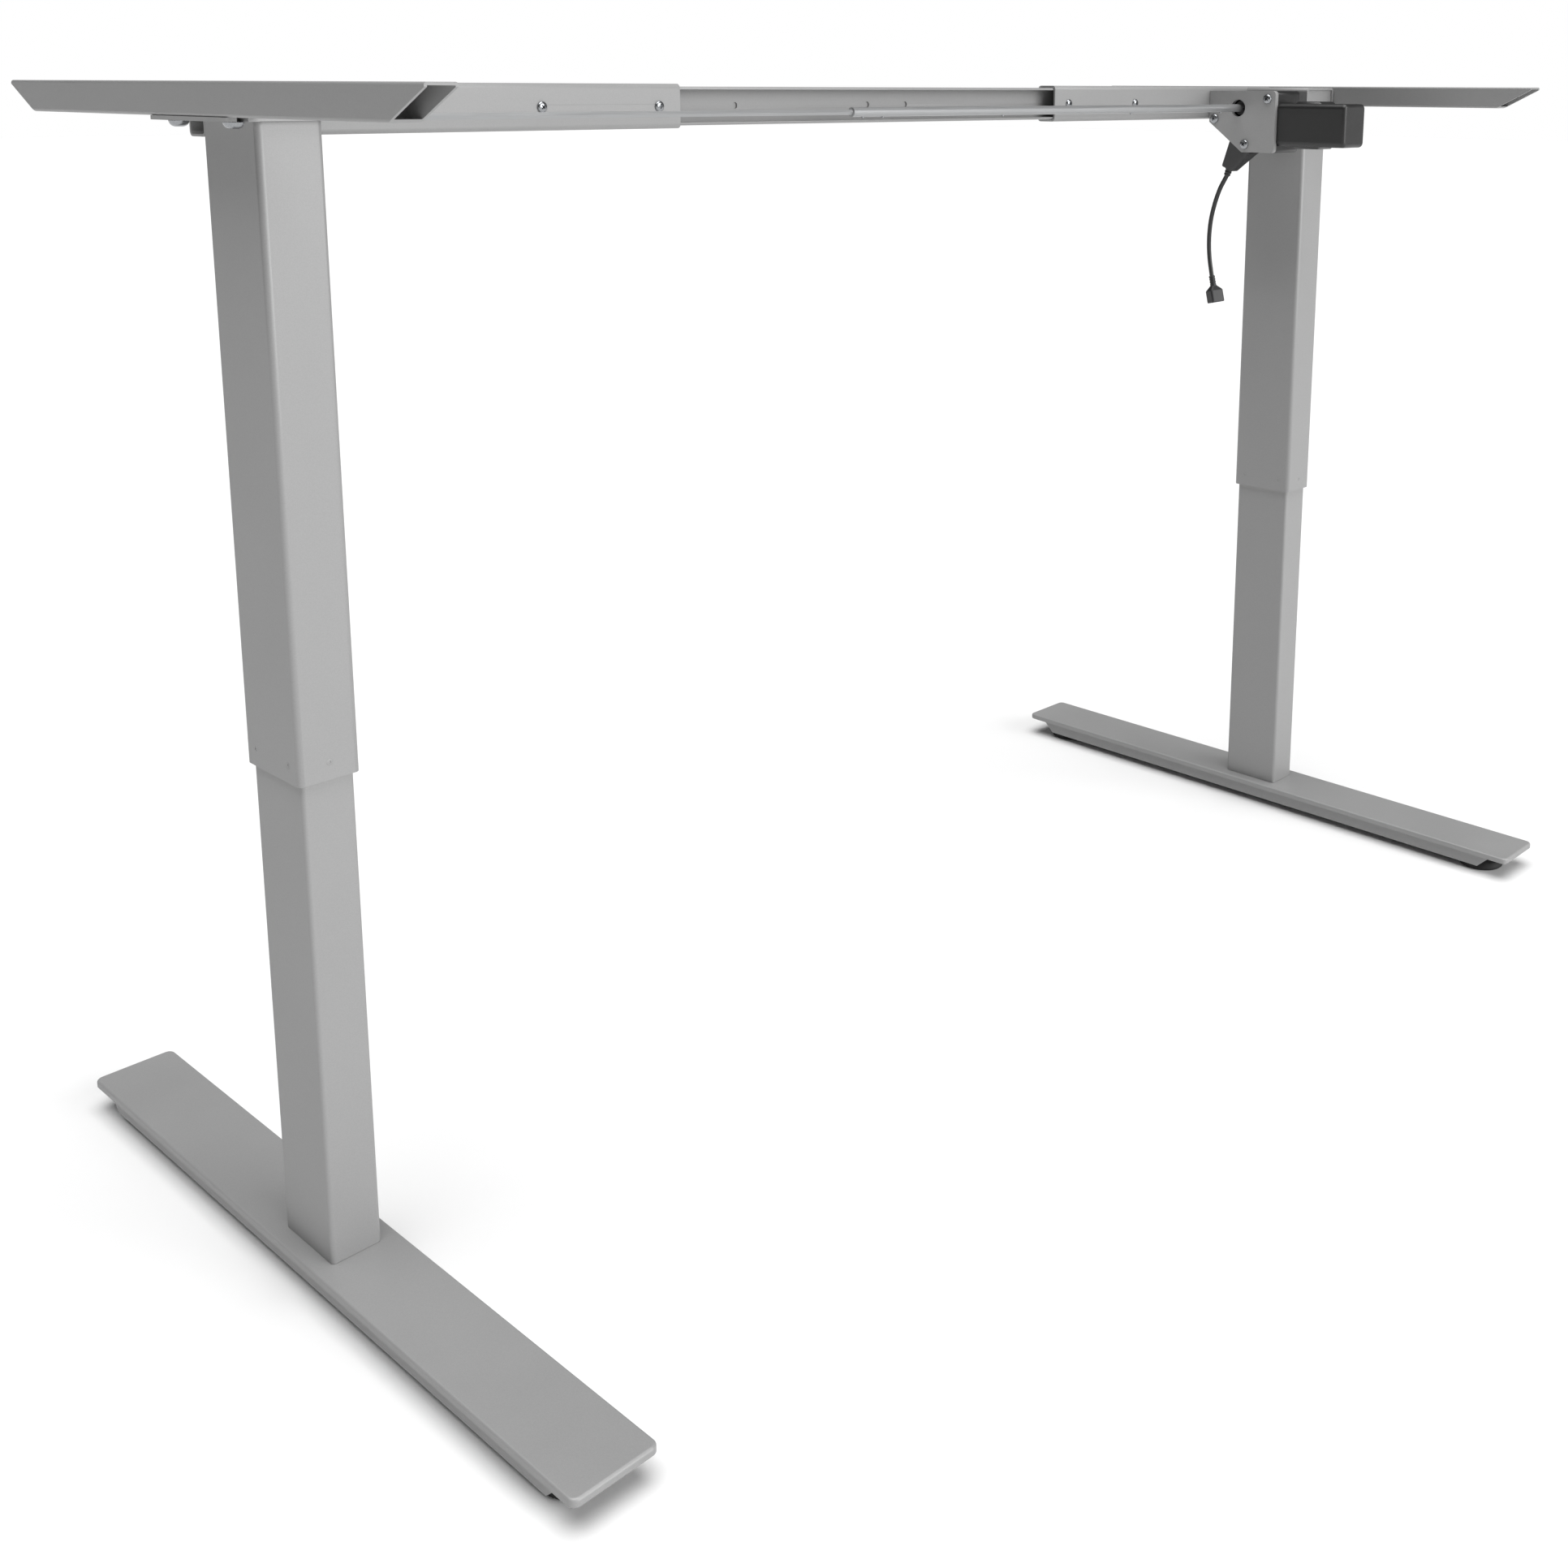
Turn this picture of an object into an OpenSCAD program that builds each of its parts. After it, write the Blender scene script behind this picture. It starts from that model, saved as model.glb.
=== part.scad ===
// Height adjustable standing desk frame: two telescopic columns on plate feet,
// a telescopic crossbar, side brackets for the top, and one motor that drives both columns.
// Axes: +X along the crossbar to the motor side, -Y to the motor's end, +Z up, origin on the floor.

/* [Overall] */
// Distance between the column axes
leg_spacing = 1363; // [1160:1:1460]
// Height of the side brackets' top face above the floor
frame_height = 937; // [780:1:1130]
// Length of each foot
foot_length = 736; // [600:1:890]
// Width of each foot
foot_width = 73; // [66:1:90]

/* [Columns] */
// Outer column, size along the foot
column_depth = 80; // [66:1:96]
// Outer column, size along the crossbar
column_width = 50; // [42:1:60]
// Wall of both column tubes
column_wall = 1.5; // [1.2:0.1:2.5]
// Length of the outer column
outer_length = 484; // [400:1:580]
// Gap between the inner and the outer column, filled by the glides
stage_gap = 2; // [1.5:0.1:3]
// Length of the inner column inside the outer one
overlap = 111; // [90:1:140]

/* [Crossbar] */
// Height of the crossbar's outer tubes
bar_height = 39; // [32:1:46]
// Depth of the crossbar's outer tubes
bar_depth = 24; // [20:1:30]
// Wall of the crossbar's outer tubes
bar_wall = 2; // [1.5:0.1:3]
// Length of each outer tube
bar_length = 438; // [350:0.5:520]
// Length of the centre rail
rail_length = 868; // [760:1:1000]

/* [Side brackets] */
// Length of each side bracket at its top
bracket_length = 601; // [500:1:720]
// Width of each side bracket
bracket_width = 23; // [20:1:40]
// Height of each side bracket
bracket_height = 24; // [20:1:30]

/* [Drive] */
// Radius of the lead screws
screw_r = 6; // [5:0.5:8]
// Width across the flats of the hex rod
hex_flats = 5; // [4:0.5:6]
// Outer radius of the shaft tube
tube_r = 4.5; // [4.2:0.1:5.5]
// Radius of the motor cord
cord_r = 2.75; // [2:0.05:3.5]

/* [Hidden] */
$fn = 48;
eps = 0.01;
slide_gap = 0.3;
run_gap = 0.05;

grey = [0.62, 0.63, 0.64];
zinc = [0.78, 0.79, 0.80];
black = [0.08, 0.08, 0.085];
dark = [0.14, 0.14, 0.15];
nylon = [0.86, 0.85, 0.80];
brass = [0.72, 0.58, 0.30];

leg_x = leg_spacing / 2;

// feet
foot_top = 29;
pad_height = 8;
pad_r = 26;
pad_y = foot_length / 2 - 48;
stud_r = 4;
foot_lip = 6.5;
foot_sheet = 2.5;
foot_corner = 7;
channel_width = foot_width - 10;
channel_end = foot_length / 2 - 23;
channel_slant = 15;
bolt_r = 4;
bolt_head_r = 6.5;
bolt_head_h = 5;
base_plate_t = 8;

// columns
column_corner = 4.5;
column_top = frame_height - bracket_height - 3;
outer_bottom = column_top - outer_length;
inner_top = outer_bottom + overlap;
inner_width = column_width - 2 * column_wall - 2 * stage_gap;
inner_depth = column_depth - 2 * column_wall - 2 * stage_gap;
inner_corner = 3.5;
bolt_x = inner_width / 2 - 10;
bolt_y = inner_depth / 2 - 12;
glide_height = 45;
nut_height = 35;
pin_r = 2.5;
pin_z = outer_bottom + 14;
pin_y = column_depth / 2 - 15;
pin_bite = 1;

// head
flange_t = 3;
channel_sheet = 3;
head_half = column_width / 2 + 6;
head_top = frame_height - 1.5;
head_corner = 5;
head_front = column_depth / 2 + 5;
head_inner = 2 * (head_half - channel_sheet + eps);
end_plate_back = 2;
shaft_z = frame_height - 26;
block_half_x = column_width / 2 - column_wall;
block_half_y = 30;
block_bottom = shaft_z - 29;
block_top = shaft_z + 17;
cavity = 18;
bevel_r = 14;
bevel_inner = 8;
bevel_gap = 0.3;
bevel_back = 3;
hub_r = 6.5;
hub_end = column_width / 2 + 1;
teeth = 18;
tooth_depth = 1.2;
tooth_gap = 1.5;
flange_far = 55;
flange_near = 58;
screw_bottom = inner_top - 57;

// side brackets
bracket_in = head_half + 1;
bracket_out = bracket_in + bracket_width;
flange_out = bracket_out;
bracket_mid = (bracket_in + bracket_out) / 2;
bracket_near = -bracket_length / 2;
bracket_far = bracket_near + bracket_length;
bracket_wall = 2;
bracket_lip = 3;
bracket_slant = 41;
bracket_corner = 2;
m8_r = 4;
m8_head_r = 7;
m8_head_h = 5;
m8_y = [36, -45];
top_hole_r = 3.5;
top_hole_y = [bracket_far - 66, bracket_near + 66];

// crossbar
bar_front = column_depth / 2 + 1;
bar_back = bar_front + bar_depth;
bar_top = frame_height - 0.5;
bar_bottom = bar_top - bar_height;
bar_mid = (bar_top + bar_bottom) / 2;
bar_corner = 4;
bar_start = -22.5;
bar_end = bar_start + bar_length;
bar_screws = [bar_end - 24, bar_end - 148];
bar_screw_r = 2.5;
bar_head_r = 4.8;
rail_gap = 0.4;
rail_sheet = 2.5;
rail_corner = 2.2;
rail_front = bar_front + bar_wall + rail_gap;
rail_back = bar_back - bar_wall - rail_gap;
rail_bottom = bar_bottom + bar_wall + rail_gap;
rail_top = bar_top - bar_wall - rail_gap;
web_holes = [-185, -10, 45];
web_hole_r = 3;

// drive shaft
hex_r = hex_flats / sqrt(3);
hex_end = 55;
tube_start = -92;
tube_run = leg_x - tube_start;
tube_hex_r = (hex_flats + 0.2) / sqrt(3);
grub_r = 1.5;
grub_x = [
    tube_start + 15, tube_start + 42, tube_start + 0.285 * tube_run,
    tube_start + 0.573 * tube_run, leg_x - 151.5
];

// gearbox and motor, distances from the right column's axis towards the crossbar
cover_front = 113.5;
cover_t = 6;
housing_front = cover_front - cover_t;
housing_back = 60;
box_top = shaft_z + 20.5;
box_bottom = shaft_z - 52.5;
box_left = column_depth / 2 + 0.7;
box_right = -52;
box_step = -7;
box_knee = shaft_z - 17;
box_corner = 4;
cover_hole_r = 10;
cover_screws = [[-41, 11], [33, -13], [-11, -43]];
cover_screw_r = 2.5;
cover_head_r = 5.7;
boss_r = 18;
wheel_x = 85.5;
wheel_r = 14.2;
wheel_half = 6;
wheel_teeth = 28;
wheel_room = 15.5;
wheel_back = 74;
worm_r = 4.7;
worm_half = 18;
worm_shaft_r = 3;
worm_drop = 19.25;
worm_room = 6;
motor_width = 47;
motor_height = 50.5;
motor_length = 91;
motor_corner = 6;
motor_x = 85.5;
motor_z = shaft_z - worm_drop;
rotor_r = 15;

// cord outlet
outlet_x = 88;
outlet_at = 0.237;
outlet_y = box_step + outlet_at * (box_left - box_step);
outlet_z = box_bottom + outlet_at * (box_knee - box_bottom);
outlet_tilt = atan2(box_knee - box_bottom, box_left - box_step);
outlet_long = 34;
outlet_wide = 26;
outlet_tip = 18;
outlet_tip_wide = 14;
tip_y = box_left - 15.2;
tip_z = shaft_z - 74;
tip_tilt = 22;
relief_length = 10;
relief_r = 4.6;
relief_core = 3.6;
relief_play = 0.35;

tip_n = [sin(tip_tilt), -cos(tip_tilt)];
cord_start_y = tip_y + tip_n[0] * relief_length;
cord_start_z = tip_z + tip_n[1] * relief_length;

// cord route, [y from the outlet's tip, z below the shaft axis]
cord_in = 0.05;
cord_bow = [[12.5, -99], [19.5, -118], [24.5, -139.7], [26.1, -162.6], [24.5, -185.4]];
cord_route = concat(
    [[tip_y + tip_n[0] * cord_in, tip_z + tip_n[1] * cord_in - shaft_z],
     [cord_start_y, cord_start_z - shaft_z]],
    [for (p = cord_bow) [tip_y + p[0], p[1]]]
);
plug_lean = 13.4;
plug_turn = 21;
plug_y = tip_y + 20.1;
plug_z = shaft_z - 208.1;
plug_neck = 13;
plug_neck_r = 3.9;
plug_wide = 18;
plug_thick = 14;
plug_shoulder = 18.5;
plug_end = 34;
plug_notch = 8;
plug_notch_depth = 6.5;
cord_sides = 10;
cord_steps = 5;

function sub(a, b) = [a[0] - b[0], a[1] - b[1]];
function len2(a) = sqrt(a[0] * a[0] + a[1] * a[1]);
function spline(a, b, c, d, t) =
    0.5 * (2 * b + (c - a) * t + (2 * a - 5 * b + 4 * c - d) * t * t
    + (3 * b - a - 3 * c + d) * t * t * t);
cord_last = [plug_y, plug_z - shaft_z];
cord_knots = concat(cord_route, [cord_last]);
function knot(i) =
    i < 0 ? 2 * cord_knots[0] - cord_knots[1]
    : i > len(cord_knots) - 1 ? 2 * cord_knots[len(cord_knots) - 1] - cord_knots[len(cord_knots) - 2]
    : cord_knots[i];
cord_path = concat(
    [for (i = [0:len(cord_knots) - 2]) for (k = [0:cord_steps - 1])
        spline(knot(i - 1), knot(i), knot(i + 1), knot(i + 2), k / cord_steps)],
    [cord_knots[len(cord_knots) - 1]]
);
function cord_dir(i) =
    let (a = cord_path[max(i - 1, 0)], b = cord_path[min(i + 1, len(cord_path) - 1)], d = sub(b, a))
    d / len2(d);
function cord_ring(i) =
    let (d = cord_dir(i), p = cord_path[i], n = [-d[1], d[0]])
    [for (k = [0:cord_sides - 1])
        let (a = 360 * k / cord_sides)
        [cord_r * cos(a), p[0] + n[0] * cord_r * sin(a), p[1] + n[1] * cord_r * sin(a)]];

module rrect(w, d, r) {
    union() {
        square([w - 2 * r, d], center = true);
        square([w, d - 2 * r], center = true);
        for (x = [-1, 1], y = [-1, 1]) {
            translate([x * (w / 2 - r), y * (d / 2 - r)]) circle(r);
        }
    }
}

module rtube(w, d, r, t) {
    difference() {
        rrect(w, d, r);
        rrect(w - 2 * t, d - 2 * t, max(r - t, 0.5));
    }
}

// each side is drawn with its own x towards the other leg
module left_side() {
    translate([-leg_x, 0, 0]) children();
}

module right_side() {
    translate([leg_x, 0, 0]) mirror([1, 0, 0]) children();
}

module along_x(x0, x1, y, z) {
    translate([x0, y, z]) rotate([0, 90, 0]) linear_extrude(x1 - x0) children();
}

module along_y(y0, y1, x, z) {
    translate([x, y1, z]) rotate([90, 0, 0]) linear_extrude(y1 - y0) children();
}

module foot_plate_shape() {
    difference() {
        translate([0, 0, foot_top - foot_lip]) linear_extrude(foot_lip)
            rrect(foot_width, foot_length, foot_corner);
        translate([0, 0, foot_top - foot_lip - 1]) linear_extrude(foot_lip + 1 - foot_sheet)
            rrect(foot_width - 2 * foot_sheet, foot_length - 2 * foot_sheet, foot_corner - foot_sheet);
        for (x = [-1, 1], y = [-1, 1]) {
            translate([x * bolt_x, y * bolt_y, 0]) cylinder(r = bolt_r, h = foot_top + 1);
        }
    }
}

module channel_profile(inset, low) {
    top = foot_top - foot_sheet;
    e = channel_end - inset;
    polygon([
        [-e, top], [-e, top - 4], [-e + channel_slant, low],
        [e - channel_slant, low], [e, top - 4], [e, top]
    ]);
}

module foot_channel_shape() {
    difference() {
        union() {
            difference() {
                rotate([90, 0, 90]) translate([0, 0, -channel_width / 2])
                    linear_extrude(channel_width) channel_profile(0, pad_height);
                rotate([90, 0, 90]) translate([0, 0, -channel_width / 2 + foot_sheet])
                    linear_extrude(channel_width - 2 * foot_sheet) channel_profile(foot_sheet, pad_height + foot_sheet);
            }
            for (y = [-1, 1]) {
                translate([0, y * pad_y, pad_height + foot_sheet - eps]) cylinder(r = 7.5, h = 6, $fn = 6);
            }
        }
        for (y = [-1, 1]) {
            translate([0, y * pad_y, pad_height - 1]) cylinder(r = stud_r + run_gap, h = 12);
        }
        for (x = [-1, 1], y = [-1, 1]) {
            translate([x * bolt_x, y * bolt_y, pad_height - 1]) cylinder(r = bolt_head_r + 1, h = 5);
        }
    }
}

module foot_bolts_shape() {
    seat = foot_top - foot_sheet;
    for (x = [-1, 1], y = [-1, 1]) {
        translate([x * bolt_x, y * bolt_y, 0]) {
            difference() {
                translate([0, 0, seat - bolt_head_h]) cylinder(r = bolt_head_r, h = bolt_head_h);
                translate([0, 0, seat - bolt_head_h - 1]) cylinder(r = 3.5, h = 4, $fn = 6);
            }
            translate([0, 0, seat - eps]) cylinder(r = bolt_r, h = foot_sheet + base_plate_t + eps);
        }
    }
}

module column_base_shape() {
    difference() {
        translate([0, 0, foot_top]) linear_extrude(base_plate_t)
            rrect(inner_width - 2 * column_wall, inner_depth - 2 * column_wall, inner_corner - column_wall);
        for (x = [-1, 1], y = [-1, 1]) {
            translate([x * bolt_x, y * bolt_y, 0]) cylinder(r = bolt_r, h = foot_top + base_plate_t + 1);
        }
    }
}

module lower_column_shape() {
    translate([0, 0, foot_top]) linear_extrude(inner_top - foot_top)
        rtube(inner_width, inner_depth, inner_corner, column_wall);
}

module upper_glide_shape() {
    t = stage_gap - slide_gap;
    translate([0, 0, inner_top - glide_height]) linear_extrude(glide_height) difference() {
        rrect(inner_width + 2 * t, inner_depth + 2 * t, inner_corner + t - 0.6);
        rrect(inner_width, inner_depth, inner_corner);
    }
}

module lead_nut_shape() {
    difference() {
        translate([0, 0, inner_top - nut_height]) linear_extrude(nut_height)
            rrect(inner_width - 2 * column_wall, inner_depth - 2 * column_wall, inner_corner - column_wall);
        translate([0, 0, inner_top - nut_height - 1]) cylinder(r = screw_r + run_gap, h = nut_height + 2);
        for (y = [-1, 1]) {
            translate([0, y * inner_depth / 3.4, inner_top - nut_height - 1])
                linear_extrude(nut_height - 5) square([inner_width - 16, inner_depth / 5], center = true);
        }
    }
}

module levelling_foot_shape(side) {
    translate([0, side * pad_y, 0]) {
        cylinder(r = pad_r, h = 5);
        translate([0, 0, 5 - eps]) cylinder(r1 = pad_r, r2 = pad_r - 3, h = pad_height - 5 + eps);
        translate([0, 0, pad_height - eps]) cylinder(r = stud_r, h = foot_top - foot_sheet - pad_height - 2);
    }
}

module pins_at(length) {
    for (x = [-1, 1], y = [-1, 1]) {
        translate([x * column_width / 2, y * pin_y, pin_z]) rotate([0, -x * 90, 0]) cylinder(r = pin_r, h = length);
    }
    for (y = [-1, 1]) {
        translate([0, y * column_depth / 2, pin_z]) rotate([y * 90, 0, 0]) cylinder(r = pin_r, h = length);
    }
}

module glide_pins_shape() {
    pins_at(column_wall + pin_bite);
}

module upper_column_shape() {
    difference() {
        translate([0, 0, outer_bottom]) linear_extrude(outer_length)
            rtube(column_width, column_depth, column_corner, column_wall);
        pins_at(column_wall + pin_bite);
        along_x(0, column_width, 0, shaft_z) circle(hub_r + 1.5);
    }
}

module lower_glide_shape() {
    w = column_width - 2 * column_wall;
    d = column_depth - 2 * column_wall;
    difference() {
        translate([0, 0, outer_bottom]) linear_extrude(glide_height) difference() {
            rrect(w, d, column_corner - column_wall);
            rrect(inner_width + 2 * slide_gap, inner_depth + 2 * slide_gap, inner_corner + slide_gap);
        }
        pins_at(column_wall + pin_bite);
    }
}

module head_profile() {
    h = head_top - column_top - flange_t;
    difference() {
        union() {
            translate([0, -head_corner / 2]) square([2 * head_half, h - head_corner], center = true);
            translate([0, 0]) square([2 * head_half - 2 * head_corner, h], center = true);
            for (x = [-1, 1]) translate([x * (head_half - head_corner), h / 2 - head_corner]) circle(head_corner);
        }
        translate([0, -channel_sheet]) square([2 * (head_half - channel_sheet), h], center = true);
    }
}

module head_plate_shape() {
    mid = (head_top + column_top + flange_t) / 2;
    difference() {
        union() {
            translate([0, 0, column_top]) linear_extrude(flange_t) difference() {
                union() {
                    translate([-head_half, -column_depth / 2]) square([2 * head_half, column_depth + 1]);
                    translate([-flange_out, -flange_near])
                        square([flange_out - head_half + eps, flange_near + flange_far]);
                    translate([-head_half, -head_front]) square([2 * head_half, head_front]);
                }
                square([2 * block_half_x, 2 * block_half_y], center = true);
                translate([-bracket_mid, m8_y[0]]) circle(m8_r);
                translate([-bracket_mid, m8_y[1]]) circle(m8_r);
                translate([-bracket_mid - m8_r, -flange_near - 1]) square([2 * m8_r, flange_near + 1 + m8_y[1]]);
            }
            along_y(-head_front, bar_front, 0, mid) head_profile();
            translate([-head_half + channel_sheet - eps, bar_front - channel_sheet, column_top + flange_t - eps])
                cube([head_inner, channel_sheet, head_top - column_top - flange_t - channel_sheet + 2 * eps]);
            translate([-head_half + channel_sheet - eps, end_plate_back - head_front, column_top + flange_t - eps])
                cube([head_inner, channel_sheet, head_top - column_top - flange_t - channel_sheet + 2 * eps]);
        }
        along_x(0, head_half + 1, 0, shaft_z) circle(hub_r + 1.5);
    }
}

module bracket_side() {
    z1 = frame_height;
    z0 = frame_height - bracket_height;
    polygon([
        [bracket_near, z1], [bracket_near, z1 - bracket_lip], [bracket_near + bracket_slant, z0],
        [bracket_far - bracket_slant, z0], [bracket_far, z1 - bracket_lip], [bracket_far, z1]
    ]);
}

module side_bracket_shape() {
    difference() {
        intersection() {
            along_y(bracket_near, bracket_far, -bracket_mid, frame_height - bracket_height / 2)
                rtube(bracket_width, bracket_height, bracket_corner, bracket_wall);
            rotate([90, 0, 90]) translate([0, 0, -bracket_out - 1])
                linear_extrude(bracket_width + 2) bracket_side();
        }
        for (y = m8_y) {
            translate([-bracket_mid, y, frame_height - bracket_height - 1]) cylinder(r = m8_r, h = bracket_wall + 2);
        }
        for (y = top_hole_y) {
            translate([-bracket_mid, y, frame_height - bracket_height - 1]) cylinder(r = top_hole_r, h = bracket_height + 2);
        }
    }
}

module bracket_bolts_shape() {
    for (y = m8_y) {
        translate([-bracket_mid, y, column_top]) {
            difference() {
                translate([0, 0, -m8_head_h]) cylinder(r1 = m8_head_r - 1.5, r2 = m8_head_r, h = m8_head_h);
                translate([0, 0, -m8_head_h - 1]) cylinder(r = 2.9, h = 4, $fn = 6);
            }
            translate([0, 0, -eps]) cylinder(r = m8_r, h = 12 + eps);
        }
    }
}

module bearing_block_shape() {
    difference() {
        translate([-block_half_x, -block_half_y, block_bottom])
            cube([2 * block_half_x, 2 * block_half_y, block_top - block_bottom]);
        translate([-cavity, -cavity, shaft_z - bevel_r - bevel_back - 1])
            cube([2 * cavity, 2 * cavity, 60]);
        translate([0, 0, block_bottom - 1]) cylinder(r = screw_r + run_gap, h = 30);
        along_x(0, block_half_x + 1, 0, shaft_z) circle(hub_r + run_gap);
    }
}

module bar_tube_shape() {
    difference() {
        along_x(bar_start, bar_end, (bar_front + bar_back) / 2, bar_mid)
            rotate(90) rtube(bar_depth, bar_height, bar_corner, bar_wall);
        for (x = bar_screws) {
            along_y(bar_front - 1, bar_front + bar_wall + 1, x, bar_mid) circle(bar_screw_r);
        }
    }
}

module bar_screws_shape() {
    for (x = bar_screws) {
        difference() {
            union() {
                along_y(bar_front - 1, rail_back - rail_sheet - 0.5, x, bar_mid) circle(bar_screw_r);
                translate([x, bar_front, bar_mid]) rotate([90, 0, 0])
                    cylinder(r1 = bar_head_r, r2 = bar_head_r - 1.2, h = 3);
            }
            translate([x - 2.6, bar_front - 4, bar_mid - 0.5]) cube([5.2, 2.6, 1]);
            translate([x - 0.5, bar_front - 4, bar_mid - 2.6]) cube([1, 2.6, 5.2]);
        }
    }
}

module crossbar_centre() {
    w = rail_back - rail_front;
    h = rail_top - rail_bottom;
    color(grey) difference() {
        along_x(-rail_length / 2, rail_length / 2, (rail_front + rail_back) / 2, bar_mid)
            rotate(90) rrect(w, h, rail_corner);
        translate([-rail_length / 2 - 1, rail_front - 1, rail_bottom + rail_sheet])
            cube([rail_length + 2, w + 1 - rail_sheet, h - 2 * rail_sheet]);
        for (x = web_holes) {
            along_y(rail_back - rail_sheet - 1, rail_back + 1, x, bar_mid) circle(web_hole_r);
        }
        for (s = [-1, 1], x = bar_screws) {
            along_y(rail_back - rail_sheet - 1, rail_back + 1, s * (leg_x - x), bar_mid) circle(bar_screw_r + 0.5);
        }
    }
}

// mitre gear with its big end at z = 0 and its small end above
module mitre(bore_r, sides) {
    face = bevel_r - bevel_inner;
    difference() {
        union() {
            cylinder(r1 = bevel_r - bevel_gap, r2 = bevel_inner - bevel_gap, h = face);
            translate([0, 0, -bevel_back]) cylinder(r = bevel_r - bevel_gap, h = bevel_back + eps);
        }
        translate([0, 0, -bevel_back - 1]) cylinder(r = bore_r, h = bevel_back + face + 2, $fn = sides);
        for (k = [0:teeth - 1]) {
            rotate([0, 0, 360 * k / teeth]) translate([bevel_r - bevel_gap, 0, 0]) rotate([0, -45, 0])
                translate([-tooth_depth, -tooth_gap / 2, -4]) cube([4, tooth_gap, 20]);
        }
    }
}

module screw_bevel_shape() {
    translate([0, 0, shaft_z - bevel_r]) mitre(screw_r, 48);
}

module leadscrew_shape() {
    translate([0, 0, screw_bottom]) cylinder(r = screw_r, h = shaft_z - bevel_inner - screw_bottom);
}

module shaft_bevel_shape(bore_r, sides) {
    translate([bevel_r, 0, shaft_z]) rotate([0, -90, 0]) rotate([0, 0, sides == 6 ? 30 : 0]) mitre(bore_r, sides);
    difference() {
        along_x(bevel_r + bevel_back - eps, hub_end, 0, shaft_z) circle(hub_r);
        along_x(bevel_r, hub_end + 1, 0, shaft_z) rotate(sides == 6 ? 30 : 0) circle(bore_r, $fn = sides);
    }
}

module hex_rod() {
    start = bevel_inner + 1;
    color(zinc) along_x(-leg_x + start, hex_end, 0, shaft_z) rotate(30) circle(hex_r, $fn = 6);
}

module shaft_tube() {
    color(zinc) difference() {
        along_x(tube_start, leg_x - bevel_inner - 1, 0, shaft_z) circle(tube_r);
        along_x(tube_start - 1, leg_x - cover_front + 10, 0, shaft_z) rotate(30) circle(tube_hex_r, $fn = 6);
        for (x = grub_x) {
            translate([x, 0, shaft_z - tube_r - 1]) cylinder(r = grub_r, h = tube_r);
        }
    }
}

module grub_screws() {
    color(zinc) for (x = grub_x) {
        difference() {
            translate([x, 0, shaft_z - tube_r - 1]) cylinder(r = grub_r, h = tube_r + 1 - hex_flats / 2 - 0.3);
            translate([x, 0, shaft_z - tube_r - 2]) cylinder(r = 0.8, h = 2, $fn = 6);
        }
    }
}

module worm_wheel() {
    color(nylon) right_side() difference() {
        union() {
            along_x(wheel_x - wheel_half, wheel_x + wheel_half, 0, shaft_z) circle(wheel_r);
            along_x(wheel_x - wheel_half - 3, housing_front - 1, 0, shaft_z) circle(tube_r + 4);
        }
        along_x(wheel_x - 20, housing_front + 1, 0, shaft_z) circle(tube_r);
        for (k = [0:wheel_teeth - 1]) {
            translate([wheel_x, 0, shaft_z]) rotate([360 * k / wheel_teeth, 0, 0])
                translate([-wheel_half - 1, -0.75, wheel_r - 1.6]) cube([2 * wheel_half + 2, 1.5, 4]);
        }
    }
}

module worm() {
    color(zinc) right_side() translate([motor_x, 0, motor_z]) {
        difference() {
            along_y(-worm_half, worm_half, 0, 0) circle(worm_r);
            for (k = [-5:5]) {
                along_y(k * 3 - 0.7, k * 3 + 0.7, 0, 0) difference() {
                    circle(worm_r + 1);
                    circle(worm_r - 1.2);
                }
            }
        }
        along_y(-motor_length + box_right + 10, worm_half + 8, 0, 0) circle(worm_shaft_r);
        along_y(-motor_length + box_right + 20, box_right - 20, 0, 0) circle(rotor_r - 1);
    }
}

module box_outline(r) {
    pts = [[box_right, box_bottom], [box_step, box_bottom], [box_left, box_knee], [box_left, box_top], [box_right, box_top]];
    difference() {
        polygon(pts);
        for (z = [box_bottom, box_top]) {
            difference() {
                translate([box_right - 1, z == box_top ? z - r : z - 1]) square([r + 1, r + 1]);
                translate([box_right + r, z == box_top ? z - r : z + r]) circle(r);
            }
        }
    }
}

module box_slab(x0, x1, r) {
    translate([x0, 0, 0]) rotate([90, 0, 90]) linear_extrude(x1 - x0) box_outline(r);
}

module gearbox_cover() {
    color(grey) right_side() difference() {
        box_slab(housing_front, cover_front, box_corner);
        along_x(housing_front - 1, cover_front + 1, 0, shaft_z) circle(cover_hole_r);
        for (p = cover_screws) {
            along_x(housing_front - 1, cover_front + 1, p[0], shaft_z + p[1]) circle(cover_screw_r);
        }
    }
}

module gearbox_screws() {
    color(zinc) right_side() for (p = cover_screws) {
        translate([cover_front, p[0], shaft_z + p[1]]) difference() {
            union() {
                along_x(-16, 1, 0, 0) circle(cover_screw_r);
                rotate([0, 90, 0]) cylinder(r1 = cover_head_r, r2 = cover_head_r - 1.5, h = 3.4);
            }
            translate([1.2, -3, -0.6]) cube([4, 6, 1.2]);
            translate([1.2, -0.6, -3]) cube([4, 1.2, 6]);
        }
    }
}

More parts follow.
